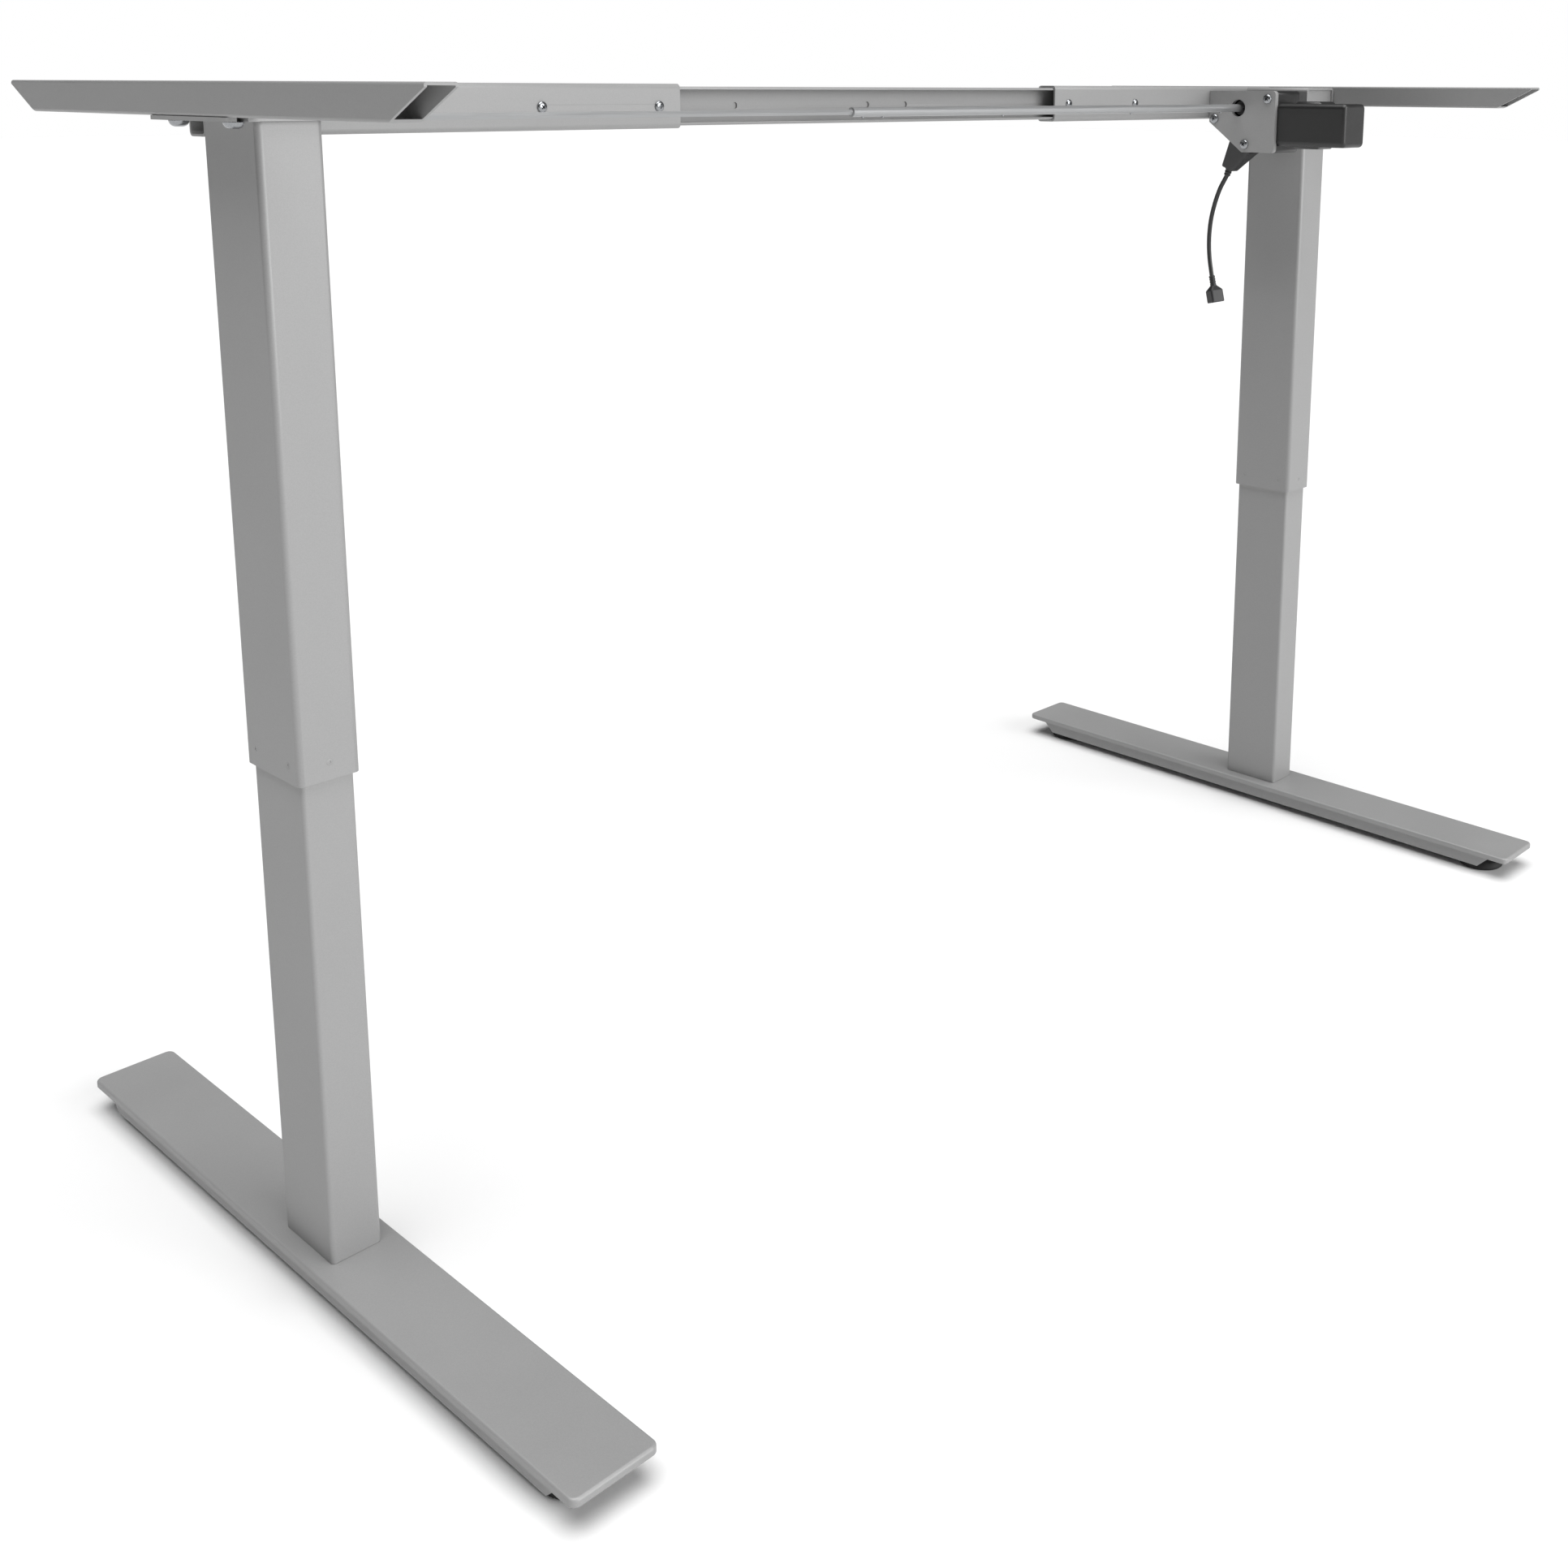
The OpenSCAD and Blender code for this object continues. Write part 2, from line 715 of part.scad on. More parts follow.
module gearbox_housing() {
    color(black) right_side() difference() {
        union() {
            box_slab(housing_back, housing_front, box_corner);
            along_x(head_half, housing_back + eps, 0, shaft_z) circle(boss_r);
        }
        along_x(head_half - 1, housing_front + 1, 0, shaft_z) circle(tube_r + run_gap);
        along_x(wheel_back, housing_front + 1, 0, shaft_z) circle(wheel_room);
        along_y(box_right + 5, worm_half + 2, motor_x, motor_z) circle(worm_room);
        along_y(box_right - 1, worm_half + 10, motor_x, motor_z) circle(worm_shaft_r + run_gap);
        for (p = cover_screws) {
            along_x(cover_front - 16, housing_front + 1, p[0], shaft_z + p[1]) circle(cover_screw_r);
        }
    }
}

module motor_body() {
    end = box_right - motor_length;
    color(black) right_side() difference() {
        union() {
            along_y(end, box_right, motor_x, motor_z) rrect(motor_width, motor_height, motor_corner);
            along_y(-108, -71, motor_x, motor_z) rrect(motor_width - 10, motor_height + 5, motor_corner);
        }
        along_y(end + 18, box_right - 18, motor_x, motor_z) circle(rotor_r);
        along_y(end + 8, box_right + 1, motor_x, motor_z) circle(worm_shaft_r + run_gap);
    }
}

module cable_gland() {
    color(black) right_side() hull() {
        translate([outlet_x, outlet_y, outlet_z]) rotate([outlet_tilt, 0, 0])
            translate([-outlet_wide / 2, -outlet_long / 2, -1]) cube([outlet_wide, outlet_long, 1]);
        translate([outlet_x, tip_y, tip_z]) rotate([tip_tilt, 0, 0])
            translate([-outlet_tip_wide / 2, -outlet_tip / 2, 0]) cube([outlet_tip_wide, outlet_tip, 1]);
    }
}

module strain_relief() {
    color(black) right_side() translate([outlet_x, tip_y, tip_z]) rotate([tip_tilt, 0, 0]) difference() {
        union() {
            translate([0, 0, -relief_length]) cylinder(r = relief_core, h = relief_length);
            for (k = [0:2]) {
                translate([0, 0, -2.2 - k * 3.2]) cylinder(r = relief_r - 0.3 * k, h = 2);
            }
        }
        translate([0, 0, -relief_length - 1]) cylinder(r = cord_r + relief_play, h = relief_length + 2);
    }
}

module motor_cord() {
    n = len(cord_path);
    pts = concat(
        [for (i = [0:n - 1]) each cord_ring(i)],
        [[0, cord_path[0][0], cord_path[0][1]], [0, cord_path[n - 1][0], cord_path[n - 1][1]]]
    );
    s = cord_sides;
    faces = concat(
        [for (i = [0:n - 2]) for (k = [0:s - 1])
            [i * s + k, i * s + (k + 1) % s, (i + 1) * s + (k + 1) % s, (i + 1) * s + k]],
        [for (k = [0:s - 1]) [n * s, (k + 1) % s, k]],
        [for (k = [0:s - 1]) [n * s + 1, (n - 1) * s + k, (n - 1) * s + (k + 1) % s]]
    );
    color(black) translate([leg_x - outlet_x, 0, shaft_z]) polyhedron(points = pts, faces = faces, convexity = 4);
}

module plug_outline(half) {
    polygon([
        [-plug_neck_r, -plug_neck], [-half, -plug_shoulder], [-half, -plug_end],
        [half, -plug_end], [half, -plug_shoulder], [plug_neck_r, -plug_neck]
    ]);
}

module cord_connector() {
    color(black) right_side() translate([outlet_x, plug_y, plug_z])
        rotate([-plug_lean, 0, 0]) rotate([0, 0, plug_turn]) {
            translate([0, 0, -plug_neck - 1]) cylinder(r = plug_neck_r, h = plug_neck + 1);
            difference() {
                intersection() {
                    rotate([90, 0, 0]) translate([0, 0, -plug_wide]) linear_extrude(2 * plug_wide) plug_outline(plug_wide / 2);
                    rotate([90, 0, 90]) translate([0, 0, -plug_wide]) linear_extrude(2 * plug_wide) plug_outline(plug_thick / 2);
                }
                translate([-plug_notch / 2, -plug_wide, -plug_end - 1])
                    cube([plug_notch, 2 * plug_wide, plug_notch_depth + 1 - plug_notch / 2]);
                translate([0, plug_wide, -plug_end + plug_notch_depth - plug_notch / 2]) rotate([90, 0, 0])
                    cylinder(r = plug_notch / 2, h = 2 * plug_wide);
            }
        }
}

module foot_plate_left() color(grey) left_side() foot_plate_shape();
module foot_plate_right() color(grey) right_side() foot_plate_shape();
module foot_channel_left() color(grey) left_side() foot_channel_shape();
module foot_channel_right() color(grey) right_side() foot_channel_shape();
module foot_bolts_left() color(zinc) left_side() foot_bolts_shape();
module foot_bolts_right() color(zinc) right_side() foot_bolts_shape();
module column_base_left() color(grey) left_side() column_base_shape();
module column_base_right() color(grey) right_side() column_base_shape();
module lower_column_left() color(grey) left_side() lower_column_shape();
module lower_column_right() color(grey) right_side() lower_column_shape();
module upper_glide_left() color(nylon) left_side() upper_glide_shape();
module upper_glide_right() color(nylon) right_side() upper_glide_shape();
module lead_nut_left() color(nylon) left_side() lead_nut_shape();
module lead_nut_right() color(nylon) right_side() lead_nut_shape();
module levelling_foot_left_far() color(black) left_side() levelling_foot_shape(1);
module levelling_foot_left_near() color(black) left_side() levelling_foot_shape(-1);
module levelling_foot_right_far() color(black) right_side() levelling_foot_shape(1);
module levelling_foot_right_near() color(black) right_side() levelling_foot_shape(-1);
module upper_column_left() color(grey) left_side() upper_column_shape();
module upper_column_right() color(grey) right_side() upper_column_shape();
module lower_glide_left() color(nylon) left_side() lower_glide_shape();
module lower_glide_right() color(nylon) right_side() lower_glide_shape();
module glide_pins_left() color(dark) left_side() glide_pins_shape();
module glide_pins_right() color(dark) right_side() glide_pins_shape();
module head_plate_left() color(grey) left_side() head_plate_shape();
module head_plate_right() color(grey) right_side() head_plate_shape();
module side_bracket_left() color(grey) left_side() side_bracket_shape();
module side_bracket_right() color(grey) right_side() side_bracket_shape();
module bracket_bolts_left() color(zinc) left_side() bracket_bolts_shape();
module bracket_bolts_right() color(zinc) right_side() bracket_bolts_shape();
module bearing_block_left() color(nylon) left_side() bearing_block_shape();
module bearing_block_right() color(nylon) right_side() bearing_block_shape();
module crossbar_left() color(grey) left_side() bar_tube_shape();
module crossbar_right() color(grey) right_side() bar_tube_shape();
module crossbar_screws_left() color(zinc) left_side() bar_screws_shape();
module crossbar_screws_right() color(zinc) right_side() bar_screws_shape();
module leadscrew_left() color(zinc) left_side() leadscrew_shape();
module leadscrew_right() color(zinc) right_side() leadscrew_shape();
module screw_bevel_left() color(nylon) left_side() screw_bevel_shape();
module screw_bevel_right() color(nylon) right_side() screw_bevel_shape();
module shaft_bevel_left() color(nylon) left_side() shaft_bevel_shape(hex_r, 6);
module shaft_bevel_right() color(nylon) right_side() shaft_bevel_shape(tube_r, 48);

foot_plate_left();
foot_plate_right();
foot_channel_left();
foot_channel_right();
foot_bolts_left();
foot_bolts_right();
column_base_left();
column_base_right();
lower_column_left();
lower_column_right();
upper_glide_left();
upper_glide_right();
lead_nut_left();
lead_nut_right();
levelling_foot_left_far();
levelling_foot_left_near();
levelling_foot_right_far();
levelling_foot_right_near();
upper_column_left();
upper_column_right();
lower_glide_left();
lower_glide_right();
glide_pins_left();
glide_pins_right();
head_plate_left();
head_plate_right();
side_bracket_left();
side_bracket_right();
bracket_bolts_left();
bracket_bolts_right();
bearing_block_left();
bearing_block_right();
crossbar_left();
crossbar_right();
crossbar_screws_left();
crossbar_screws_right();
crossbar_centre();
leadscrew_left();
leadscrew_right();
screw_bevel_left();
screw_bevel_right();
hex_rod();
shaft_bevel_left();
shaft_tube();
shaft_bevel_right();
grub_screws();
worm_wheel();
worm();
gearbox_cover();
gearbox_screws();
gearbox_housing();
motor_body();
cable_gland();
strain_relief();
motor_cord();
cord_connector();
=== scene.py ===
"""Looks of a height adjustable standing desk frame, piece by piece as it is put together."""

import math

import bmesh
import bpy
from mathutils import Euler, Matrix, Vector


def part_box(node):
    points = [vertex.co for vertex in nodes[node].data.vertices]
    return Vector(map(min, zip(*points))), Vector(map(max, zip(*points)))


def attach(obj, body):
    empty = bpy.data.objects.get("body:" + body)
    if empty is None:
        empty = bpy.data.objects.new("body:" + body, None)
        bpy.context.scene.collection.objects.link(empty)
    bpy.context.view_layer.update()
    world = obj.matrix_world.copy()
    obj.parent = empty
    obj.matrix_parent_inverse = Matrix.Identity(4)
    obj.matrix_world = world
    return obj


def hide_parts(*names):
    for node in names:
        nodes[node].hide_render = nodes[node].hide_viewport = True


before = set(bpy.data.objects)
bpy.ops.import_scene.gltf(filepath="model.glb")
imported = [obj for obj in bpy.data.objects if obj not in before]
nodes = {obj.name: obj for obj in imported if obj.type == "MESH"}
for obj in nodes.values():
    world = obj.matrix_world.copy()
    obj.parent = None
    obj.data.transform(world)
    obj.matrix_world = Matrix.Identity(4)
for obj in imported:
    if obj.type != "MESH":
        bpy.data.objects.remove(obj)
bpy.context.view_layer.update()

# ---------------------------------------------------------------------------------------------
# Studio: a plain white floor, a wide soft light from the motor end, one from above and an even fill.
# It is only the room that the desk is shown in, and isn't part of the desk.
# ---------------------------------------------------------------------------------------------


def linear(hex_colour, alpha=1.0):
    """sRGB hex to the linear colour that shaders take."""
    parts = [int(hex_colour[i:i + 2], 16) / 255 for i in (1, 3, 5)]
    return (*[c / 12.92 if c <= 0.04045 else ((c + 0.055) / 1.055) ** 2.4 for c in parts], alpha)


def add(tree, kind, settings=None, inputs=None, links=None):
    """Adds one node: settings are its properties, inputs its values, links the sockets that feed it."""
    node = tree.nodes.new(kind)
    for key, value in (settings or {}).items():
        setattr(node, key, value)
    for key, value in (inputs or {}).items():
        node.inputs[key].default_value = value
    for key, source in (links or {}).items():
        tree.links.new(source, node.inputs[key])
    return node


def new_material(name):
    material = bpy.data.materials.new(name)
    material.use_nodes = True
    material.node_tree.nodes.clear()
    return material, material.node_tree


def finish_material(tree, shader):
    add(tree, "ShaderNodeOutputMaterial", links={"Surface": shader.outputs[0]})


camera = bpy.data.objects.new("camera", bpy.data.cameras.new("camera"))
bpy.context.collection.objects.link(camera)
camera.location = (-1.304938, -1.215323, 0.936288)
camera.rotation_euler = Euler([math.radians(a) for a in (78.827, -0.274, -46.883)])
camera.data.sensor_width = 36
camera.data.lens = 41.042
camera.data.shift_x = -0.0823
camera.data.shift_y = -0.2205
bpy.context.scene.camera = camera
bpy.context.scene.view_settings.view_transform = "Standard"

card, tree = new_material("white_card")
coords = add(tree, "ShaderNodeTexCoord")
grain = add(tree, "ShaderNodeTexNoise", inputs={"Scale": 3.0, "Detail": 2.0},
            links={"Vector": coords.outputs["Object"]})
tone = add(tree, "ShaderNodeMix", {"data_type": "RGBA"}, {6: linear("#E2E2E2"), 7: linear("#E8E8E8")},
           {0: grain.outputs["Fac"]})
finish_material(tree, add(tree, "ShaderNodeBsdfPrincipled",
                          inputs={"Roughness": 0.9, "Specular IOR Level": 0.1},
                          links={"Base Color": tone.outputs[2]}))
floor_mesh = bpy.data.meshes.new("floor")
floor_mesh.from_pydata([(-30, -30, 0), (30, -30, 0), (30, 30, 0), (-30, 30, 0)], [], [(0, 1, 2, 3)])
floor_mesh.materials.append(card)
floor = bpy.data.objects.new("floor", floor_mesh)
bpy.context.collection.objects.link(floor)


def soft_light(name, towards, spread, strength):
    """A far, wide light: the whole floor gets the same, so it has no edge or falloff."""
    lamp = bpy.data.lights.new(name, "SUN")
    lamp.energy, lamp.angle = strength, math.radians(spread)
    lit = bpy.data.objects.new(name, lamp)
    bpy.context.collection.objects.link(lit)
    lit.rotation_euler = Vector(towards).to_track_quat("-Z", "Y").to_euler()


soft_light("key_from_motor_end", (-0.25, 1.0, -0.26), 50, 2.65)
soft_light("top_soft", (0.1, 0.1, -1.0), 60, 3.5)

world = bpy.data.worlds.new("white_room")
bpy.context.scene.world = world
world.use_nodes = True
tree = world.node_tree
tree.nodes.clear()
seen = add(tree, "ShaderNodeLightPath")
fill = add(tree, "ShaderNodeBackground", inputs={"Color": linear("#FFFFFF"), "Strength": 0.1})
backdrop = add(tree, "ShaderNodeBackground", inputs={"Color": linear("#FFFFFF"), "Strength": 1.0})
room = add(tree, "ShaderNodeMixShader", links={0: seen.outputs["Is Camera Ray"], 1: fill.outputs[0],
                                               2: backdrop.outputs[0]})
add(tree, "ShaderNodeOutputWorld", links={"Surface": room.outputs[0]})

# ---------------------------------------------------------------------------------------------
# Steel parts painted silver: feet, columns, brackets, crossbar and the gearbox cover.
# Cold rolled sheet and tube, phosphated and powder coated with a fine metallic silver.
# The eye gets a satin grey, a slight orange peel and a soft sparkle of flake.
# ---------------------------------------------------------------------------------------------
MM = 0.001
silver, tree = new_material("powder_coated_silver_steel")
coords = add(tree, "ShaderNodeTexCoord")
# flake is 0.05 mm in the real coat, drawn at 0.7 mm so that it shows
flake = add(tree, "ShaderNodeTexVoronoi", {"feature": "F1"}, {"Scale": 1 / (0.7 * MM)},
            {"Vector": coords.outputs["Object"]})
flake_tone = add(tree, "ShaderNodeMapRange", inputs={1: 0.0, 2: 1.0, 3: -0.035, 4: 0.035},
                 links={0: flake.outputs["Color"]})
cloud = add(tree, "ShaderNodeTexNoise", inputs={"Scale": 1 / (140 * MM), "Detail": 3.0, "Roughness": 0.55},
            links={"Vector": coords.outputs["Object"]})
cloud_tone = add(tree, "ShaderNodeMapRange", inputs={1: 0.3, 2: 0.7, 3: -0.02, 4: 0.02},
                 links={0: cloud.outputs["Fac"]})
tone = add(tree, "ShaderNodeMath", {"operation": "ADD"},
           links={0: flake_tone.outputs[0], 1: cloud_tone.outputs[0]})
shade = add(tree, "ShaderNodeHueSaturation", inputs={"Color": linear("#949494")})
tree.links.new(add(tree, "ShaderNodeMath", {"operation": "ADD"}, {1: 1.0}, {0: tone.outputs[0]}).outputs[0],
               shade.inputs["Value"])
# orange peel of the sprayed coat, about 1.6 mm from crest to crest
peel = add(tree, "ShaderNodeTexNoise", inputs={"Scale": 1 / (1.6 * MM), "Detail": 2.0},
           links={"Vector": coords.outputs["Object"]})
bump = add(tree, "ShaderNodeBump", inputs={"Strength": 0.16, "Distance": 0.12 * MM},
           links={"Height": peel.outputs["Fac"]})
rough = add(tree, "ShaderNodeMapRange", inputs={1: 0.3, 2: 0.7, 3: 0.46, 4: 0.54},
            links={0: cloud.outputs["Fac"]})
finish_material(tree, add(tree, "ShaderNodeBsdfPrincipled",
                          inputs={"Metallic": 0.2, "IOR": 1.5},
                          links={"Base Color": shade.outputs[0], "Roughness": rough.outputs[0],
                                 "Normal": bump.outputs[0]}))


def paint_node(name, material):
    """Gives a CAD node its finish; its mesh and place are left alone."""
    mesh = nodes[name].data
    if mesh.materials:
        for i in range(len(mesh.materials)):
            mesh.materials[i] = material
    else:
        mesh.materials.append(material)


for name in nodes:
    paint_node(name, silver)


# area over perimeter of the faces that only round an edge
NARROW = 0.9 * MM


def mesh_piece(name, body, record_slot, material, verts, faces, stands_for, sharp=35):
    """Makes a closed mesh a piece of the desk; narrow faces are soft up to the sharp angle."""
    mesh = bpy.data.meshes.new(name)
    mesh.from_pydata([tuple(v) for v in verts], [], faces)
    shape = bmesh.new()
    shape.from_mesh(mesh)
    bmesh.ops.remove_doubles(shape, verts=shape.verts, dist=1e-6)
    bmesh.ops.recalc_face_normals(shape, faces=shape.faces)
    for face in shape.faces:
        face.smooth = face.calc_area() < NARROW * face.calc_perimeter()
    for edge in shape.edges:
        edge.smooth = len(edge.link_faces) != 2 or edge.calc_face_angle(0) < math.radians(sharp)
    shape.to_mesh(mesh)
    shape.free()
    mesh.materials.append(material)
    piece = bpy.data.objects.new(name, mesh)
    bpy.context.collection.objects.link(piece)
    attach(piece, body)
    if stands_for:
        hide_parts(*stands_for)
    return piece


def rounded(width, depth, radius, steps=8):
    """The outline of a rounded rectangle round (0, 0), anticlockwise."""
    points = []
    for k, (sx, sy) in enumerate(((1, 1), (-1, 1), (-1, -1), (1, -1))):
        for i in range(steps + 1):
            a = math.radians(90 * k + 90 * i / steps)
            points.append((sx * (width / 2 - radius) + radius * math.cos(a),
                           sy * (depth / 2 - radius) + radius * math.sin(a)))
    return points


def skin(loops, ring=False):
    """Faces between loops of the same length; the ends are capped, or joined to each other for a wall."""
    n = len(loops[0])
    verts = [v for loop in loops for v in loop]
    faces = []
    for i in range(len(loops) if ring else len(loops) - 1):
        a, b = i * n, ((i + 1) % len(loops)) * n
        faces += [(a + k, a + (k + 1) % n, b + (k + 1) % n, b + k) for k in range(n)]
    if not ring:
        faces += [tuple(range(n))[::-1], tuple(range((len(loops) - 1) * n, len(loops) * n))]
    return verts, faces


def joined(*shapes):
    """Several (verts, faces) as one."""
    verts, faces = [], []
    for v, f in shapes:
        at = len(verts)
        verts += list(v)
        faces += [tuple(k + at for k in face) for face in f]
    return verts, faces


# ---------------------------------------------------------------------------------------------
# Foot plates: the visible top of each foot, pressed from 2.5 mm steel sheet.
# The rim is turned down all round, so that its edges and corners are softly rounded.
# ---------------------------------------------------------------------------------------------
SIDES = ("left", "right")
SHEET, LIP_ROUND, FOOT_CORNER = 2.5 * MM, 2.2 * MM, 7 * MM
BURR, RIM_CHAMFER, SHARPEST = 0.4 * MM, 0.5 * MM, 1.2 * MM
for side in SIDES:
    lo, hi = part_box("foot_plate_" + side)
    mid, size = (lo + hi) / 2, hi - lo

    def foot_loop(inset, z):
        radius = max(FOOT_CORNER - inset, SHARPEST)
        return [Vector((mid.x + x, mid.y + y, z))
                for x, y in rounded(size.x - 2 * inset, size.y - 2 * inset, radius, 10)]

    loops = [foot_loop(SHEET, hi.z - SHEET), foot_loop(SHEET, lo.z + BURR), foot_loop(SHEET - BURR, lo.z),
             foot_loop(RIM_CHAMFER, lo.z), foot_loop(0, lo.z + RIM_CHAMFER)]
    for k in range(7):
        a = math.radians(90 * k / 6)
        loops.append(foot_loop(LIP_ROUND * (1 - math.cos(a)), hi.z - LIP_ROUND + LIP_ROUND * math.sin(a)))
    mesh_piece("foot_cap_" + side, "base_" + side, "silver_paint", silver, *skin(loops),
               ["foot_plate_" + side])

# ---------------------------------------------------------------------------------------------
# Foot channels: the tray under each cap plate, folded from sheet and spot welded to it.
# Its ends slant up, and the levelling feet screw into its floor.
# ---------------------------------------------------------------------------------------------


def eased_copy(name, width, segments=3, angle=32):
    """A merged copy of a CAD node with its sharp edges rounded, as paint and tooling leave them."""
    shape = bmesh.new()
    shape.from_mesh(nodes[name].data)
    bmesh.ops.remove_doubles(shape, verts=shape.verts, dist=2e-6)
    bmesh.ops.dissolve_limit(shape, angle_limit=math.radians(0.6), verts=shape.verts, edges=shape.edges)
    edges = [e for e in shape.edges
             if len(e.link_faces) == 2 and e.calc_face_angle(0) > math.radians(angle)]
    bmesh.ops.bevel(shape, geom=edges, offset=width, segments=segments, profile=0.5, affect="EDGES",
                    clamp_overlap=True)
    verts = [v.co.copy() for v in shape.verts]
    faces = [tuple(v.index for v in f.verts) for f in shape.faces]
    shape.free()
    return verts, faces


# coated edge of folded sheet
FOLD_EDGE = 0.5 * MM
for side in SIDES:
    mesh_piece("foot_tray_" + side, "base_" + side, "silver_paint", silver,
               *eased_copy("foot_channel_" + side, FOLD_EDGE, 2), ["foot_channel_" + side])

# ---------------------------------------------------------------------------------------------
# Levelling feet: round black feet under the ends of each foot, rubber moulded on a steel stud.
# A fine ribbed rim lets fingers turn them; the sole has a shallow groove.
# ---------------------------------------------------------------------------------------------
# a matt black that hardly reflects, greyer where dust lies
rubber, tree = new_material("moulded_black_rubber")
coords = add(tree, "ShaderNodeTexCoord")
# moulded skin, a fine stipple 0.8 mm apart
stipple = add(tree, "ShaderNodeTexNoise", inputs={"Scale": 1 / (0.8 * MM), "Detail": 3.0},
              links={"Vector": coords.outputs["Object"]})
dust = add(tree, "ShaderNodeTexNoise", inputs={"Scale": 1 / (18 * MM), "Detail": 4.0},
           links={"Vector": coords.outputs["Object"]})
tone = add(tree, "ShaderNodeMix", {"data_type": "RGBA"}, {6: linear("#181818"), 7: linear("#232323")},
           {0: dust.outputs["Fac"]})
bump = add(tree, "ShaderNodeBump", inputs={"Strength": 0.25, "Distance": 0.1 * MM},
           links={"Height": stipple.outputs["Fac"]})
rough = add(tree, "ShaderNodeMapRange", inputs={1: 0.3, 2: 0.7, 3: 0.62, 4: 0.74},
            links={0: dust.outputs["Fac"]})
finish_material(tree, add(tree, "ShaderNodeBsdfPrincipled", inputs={"IOR": 1.5},
                          links={"Base Color": tone.outputs[2], "Roughness": rough.outputs[0],
                                 "Normal": bump.outputs[0]}))
RIBS = 60
for side in SIDES:
    for end in ("far", "near"):
        node = f"levelling_foot_{side}_{end}"
        lo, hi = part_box(node)
        mid, radius = (lo + hi) / 2, (hi.x - lo.x) / 2

        def disc_loop(r, z, rib=0.0):
            return [Vector((mid.x + (r - rib * (k % 2)) * math.cos(math.pi * k / RIBS),
                            mid.y + (r - rib * (k % 2)) * math.sin(math.pi * k / RIBS), lo.z + z * MM))
                    for k in range(2 * RIBS)]

        # from the groove in the sole, up the ribbed rim and the collar to the top of the stud
        top = (hi.z - lo.z) / MM
        loops = [disc_loop(radius - 7 * MM, 0.8), disc_loop(radius - 6 * MM, 0.1),
                 disc_loop(radius - 1.2 * MM, 0), disc_loop(radius, 1.0, 0.4 * MM),
                 disc_loop(radius, 4.6, 0.4 * MM), disc_loop(radius - 0.8 * MM, 5.6),
                 disc_loop(radius - 3 * MM, 7.9), disc_loop(5.2 * MM, 8.0), disc_loop(4 * MM, 8.2),
                 disc_loop(4 * MM, top - 0.8), disc_loop(3.3 * MM, top)]
        mesh_piece(f"levelling_pad_{side}_{end}", f"leveller_{side}_{end}", "black_foot", rubber,
                   *skin(loops), [node])

# ---------------------------------------------------------------------------------------------
# Screws: zinc plated cross recess pan heads, and button heads with a hexagon socket underneath.
# One head of each kind is made and set at every place by a node tree, each turned its own way.
# ---------------------------------------------------------------------------------------------
# passivated zinc: a dulled metal shine with slight streaks
zinc, tree = new_material("bright_zinc_plated_steel")
coords = add(tree, "ShaderNodeTexCoord")
streak = add(tree, "ShaderNodeTexNoise", inputs={"Scale": 1 / (1.2 * MM), "Detail": 4.0},
             links={"Vector": coords.outputs["Object"]})
tone = add(tree, "ShaderNodeMix", {"data_type": "RGBA"}, {6: linear("#8B8D90"), 7: linear("#A3A5A7")},
           {0: streak.outputs["Fac"]})
rough = add(tree, "ShaderNodeMapRange", inputs={1: 0.3, 2: 0.7, 3: 0.2, 4: 0.34},
            links={0: streak.outputs["Fac"]})
finish_material(tree, add(tree, "ShaderNodeBsdfPrincipled", inputs={"Metallic": 1.0},
                          links={"Base Color": tone.outputs[2], "Roughness": rough.outputs[0]}))


def turned_shape(profile, sides=32):
    """A lathe-turned solid round Z from (radius, height) pairs, closed at both ends."""
    return skin([[Vector((r * math.cos(2 * math.pi * k / sides), r * math.sin(2 * math.pi * k / sides), z))
                  for k in range(sides)]
                 for r, z in profile])


def plain_object(name, verts, faces):
    mesh = bpy.data.meshes.new(name)
    mesh.from_pydata([tuple(v) for v in verts], [], faces)
    piece = bpy.data.objects.new(name, mesh)
    bpy.context.collection.objects.link(piece)
    return piece


def recut(target, cutter):
    """target less cutter, as a plain mesh."""
    cut = target.modifiers.new("recess", "BOOLEAN")
    cut.operation, cut.solver, cut.object = "DIFFERENCE", "EXACT", cutter
    mesh = bpy.data.meshes.new_from_object(target.evaluated_get(bpy.context.evaluated_depsgraph_get()))
    target.modifiers.clear()
    target.data = mesh
    bpy.data.objects.remove(cutter)
    return target


def cross_cutter():
    """The two slots of a cross recess: each widens from its floor, for a head one unit in radius."""
    shapes = []
    for turn in (0, math.pi / 2):
        spin = Matrix.Rotation(turn, 3, "Z")
        loops = [[spin @ Vector((x * w, y * 0.085 * t, z)) for x, y in ((1, 1), (-1, 1), (-1, -1), (1, -1))]
                 for w, t, z in ((0.16, 0.9, 0.1), (0.6, 1.5, 0.8))]
        shapes.append(skin(loops))
    return shapes


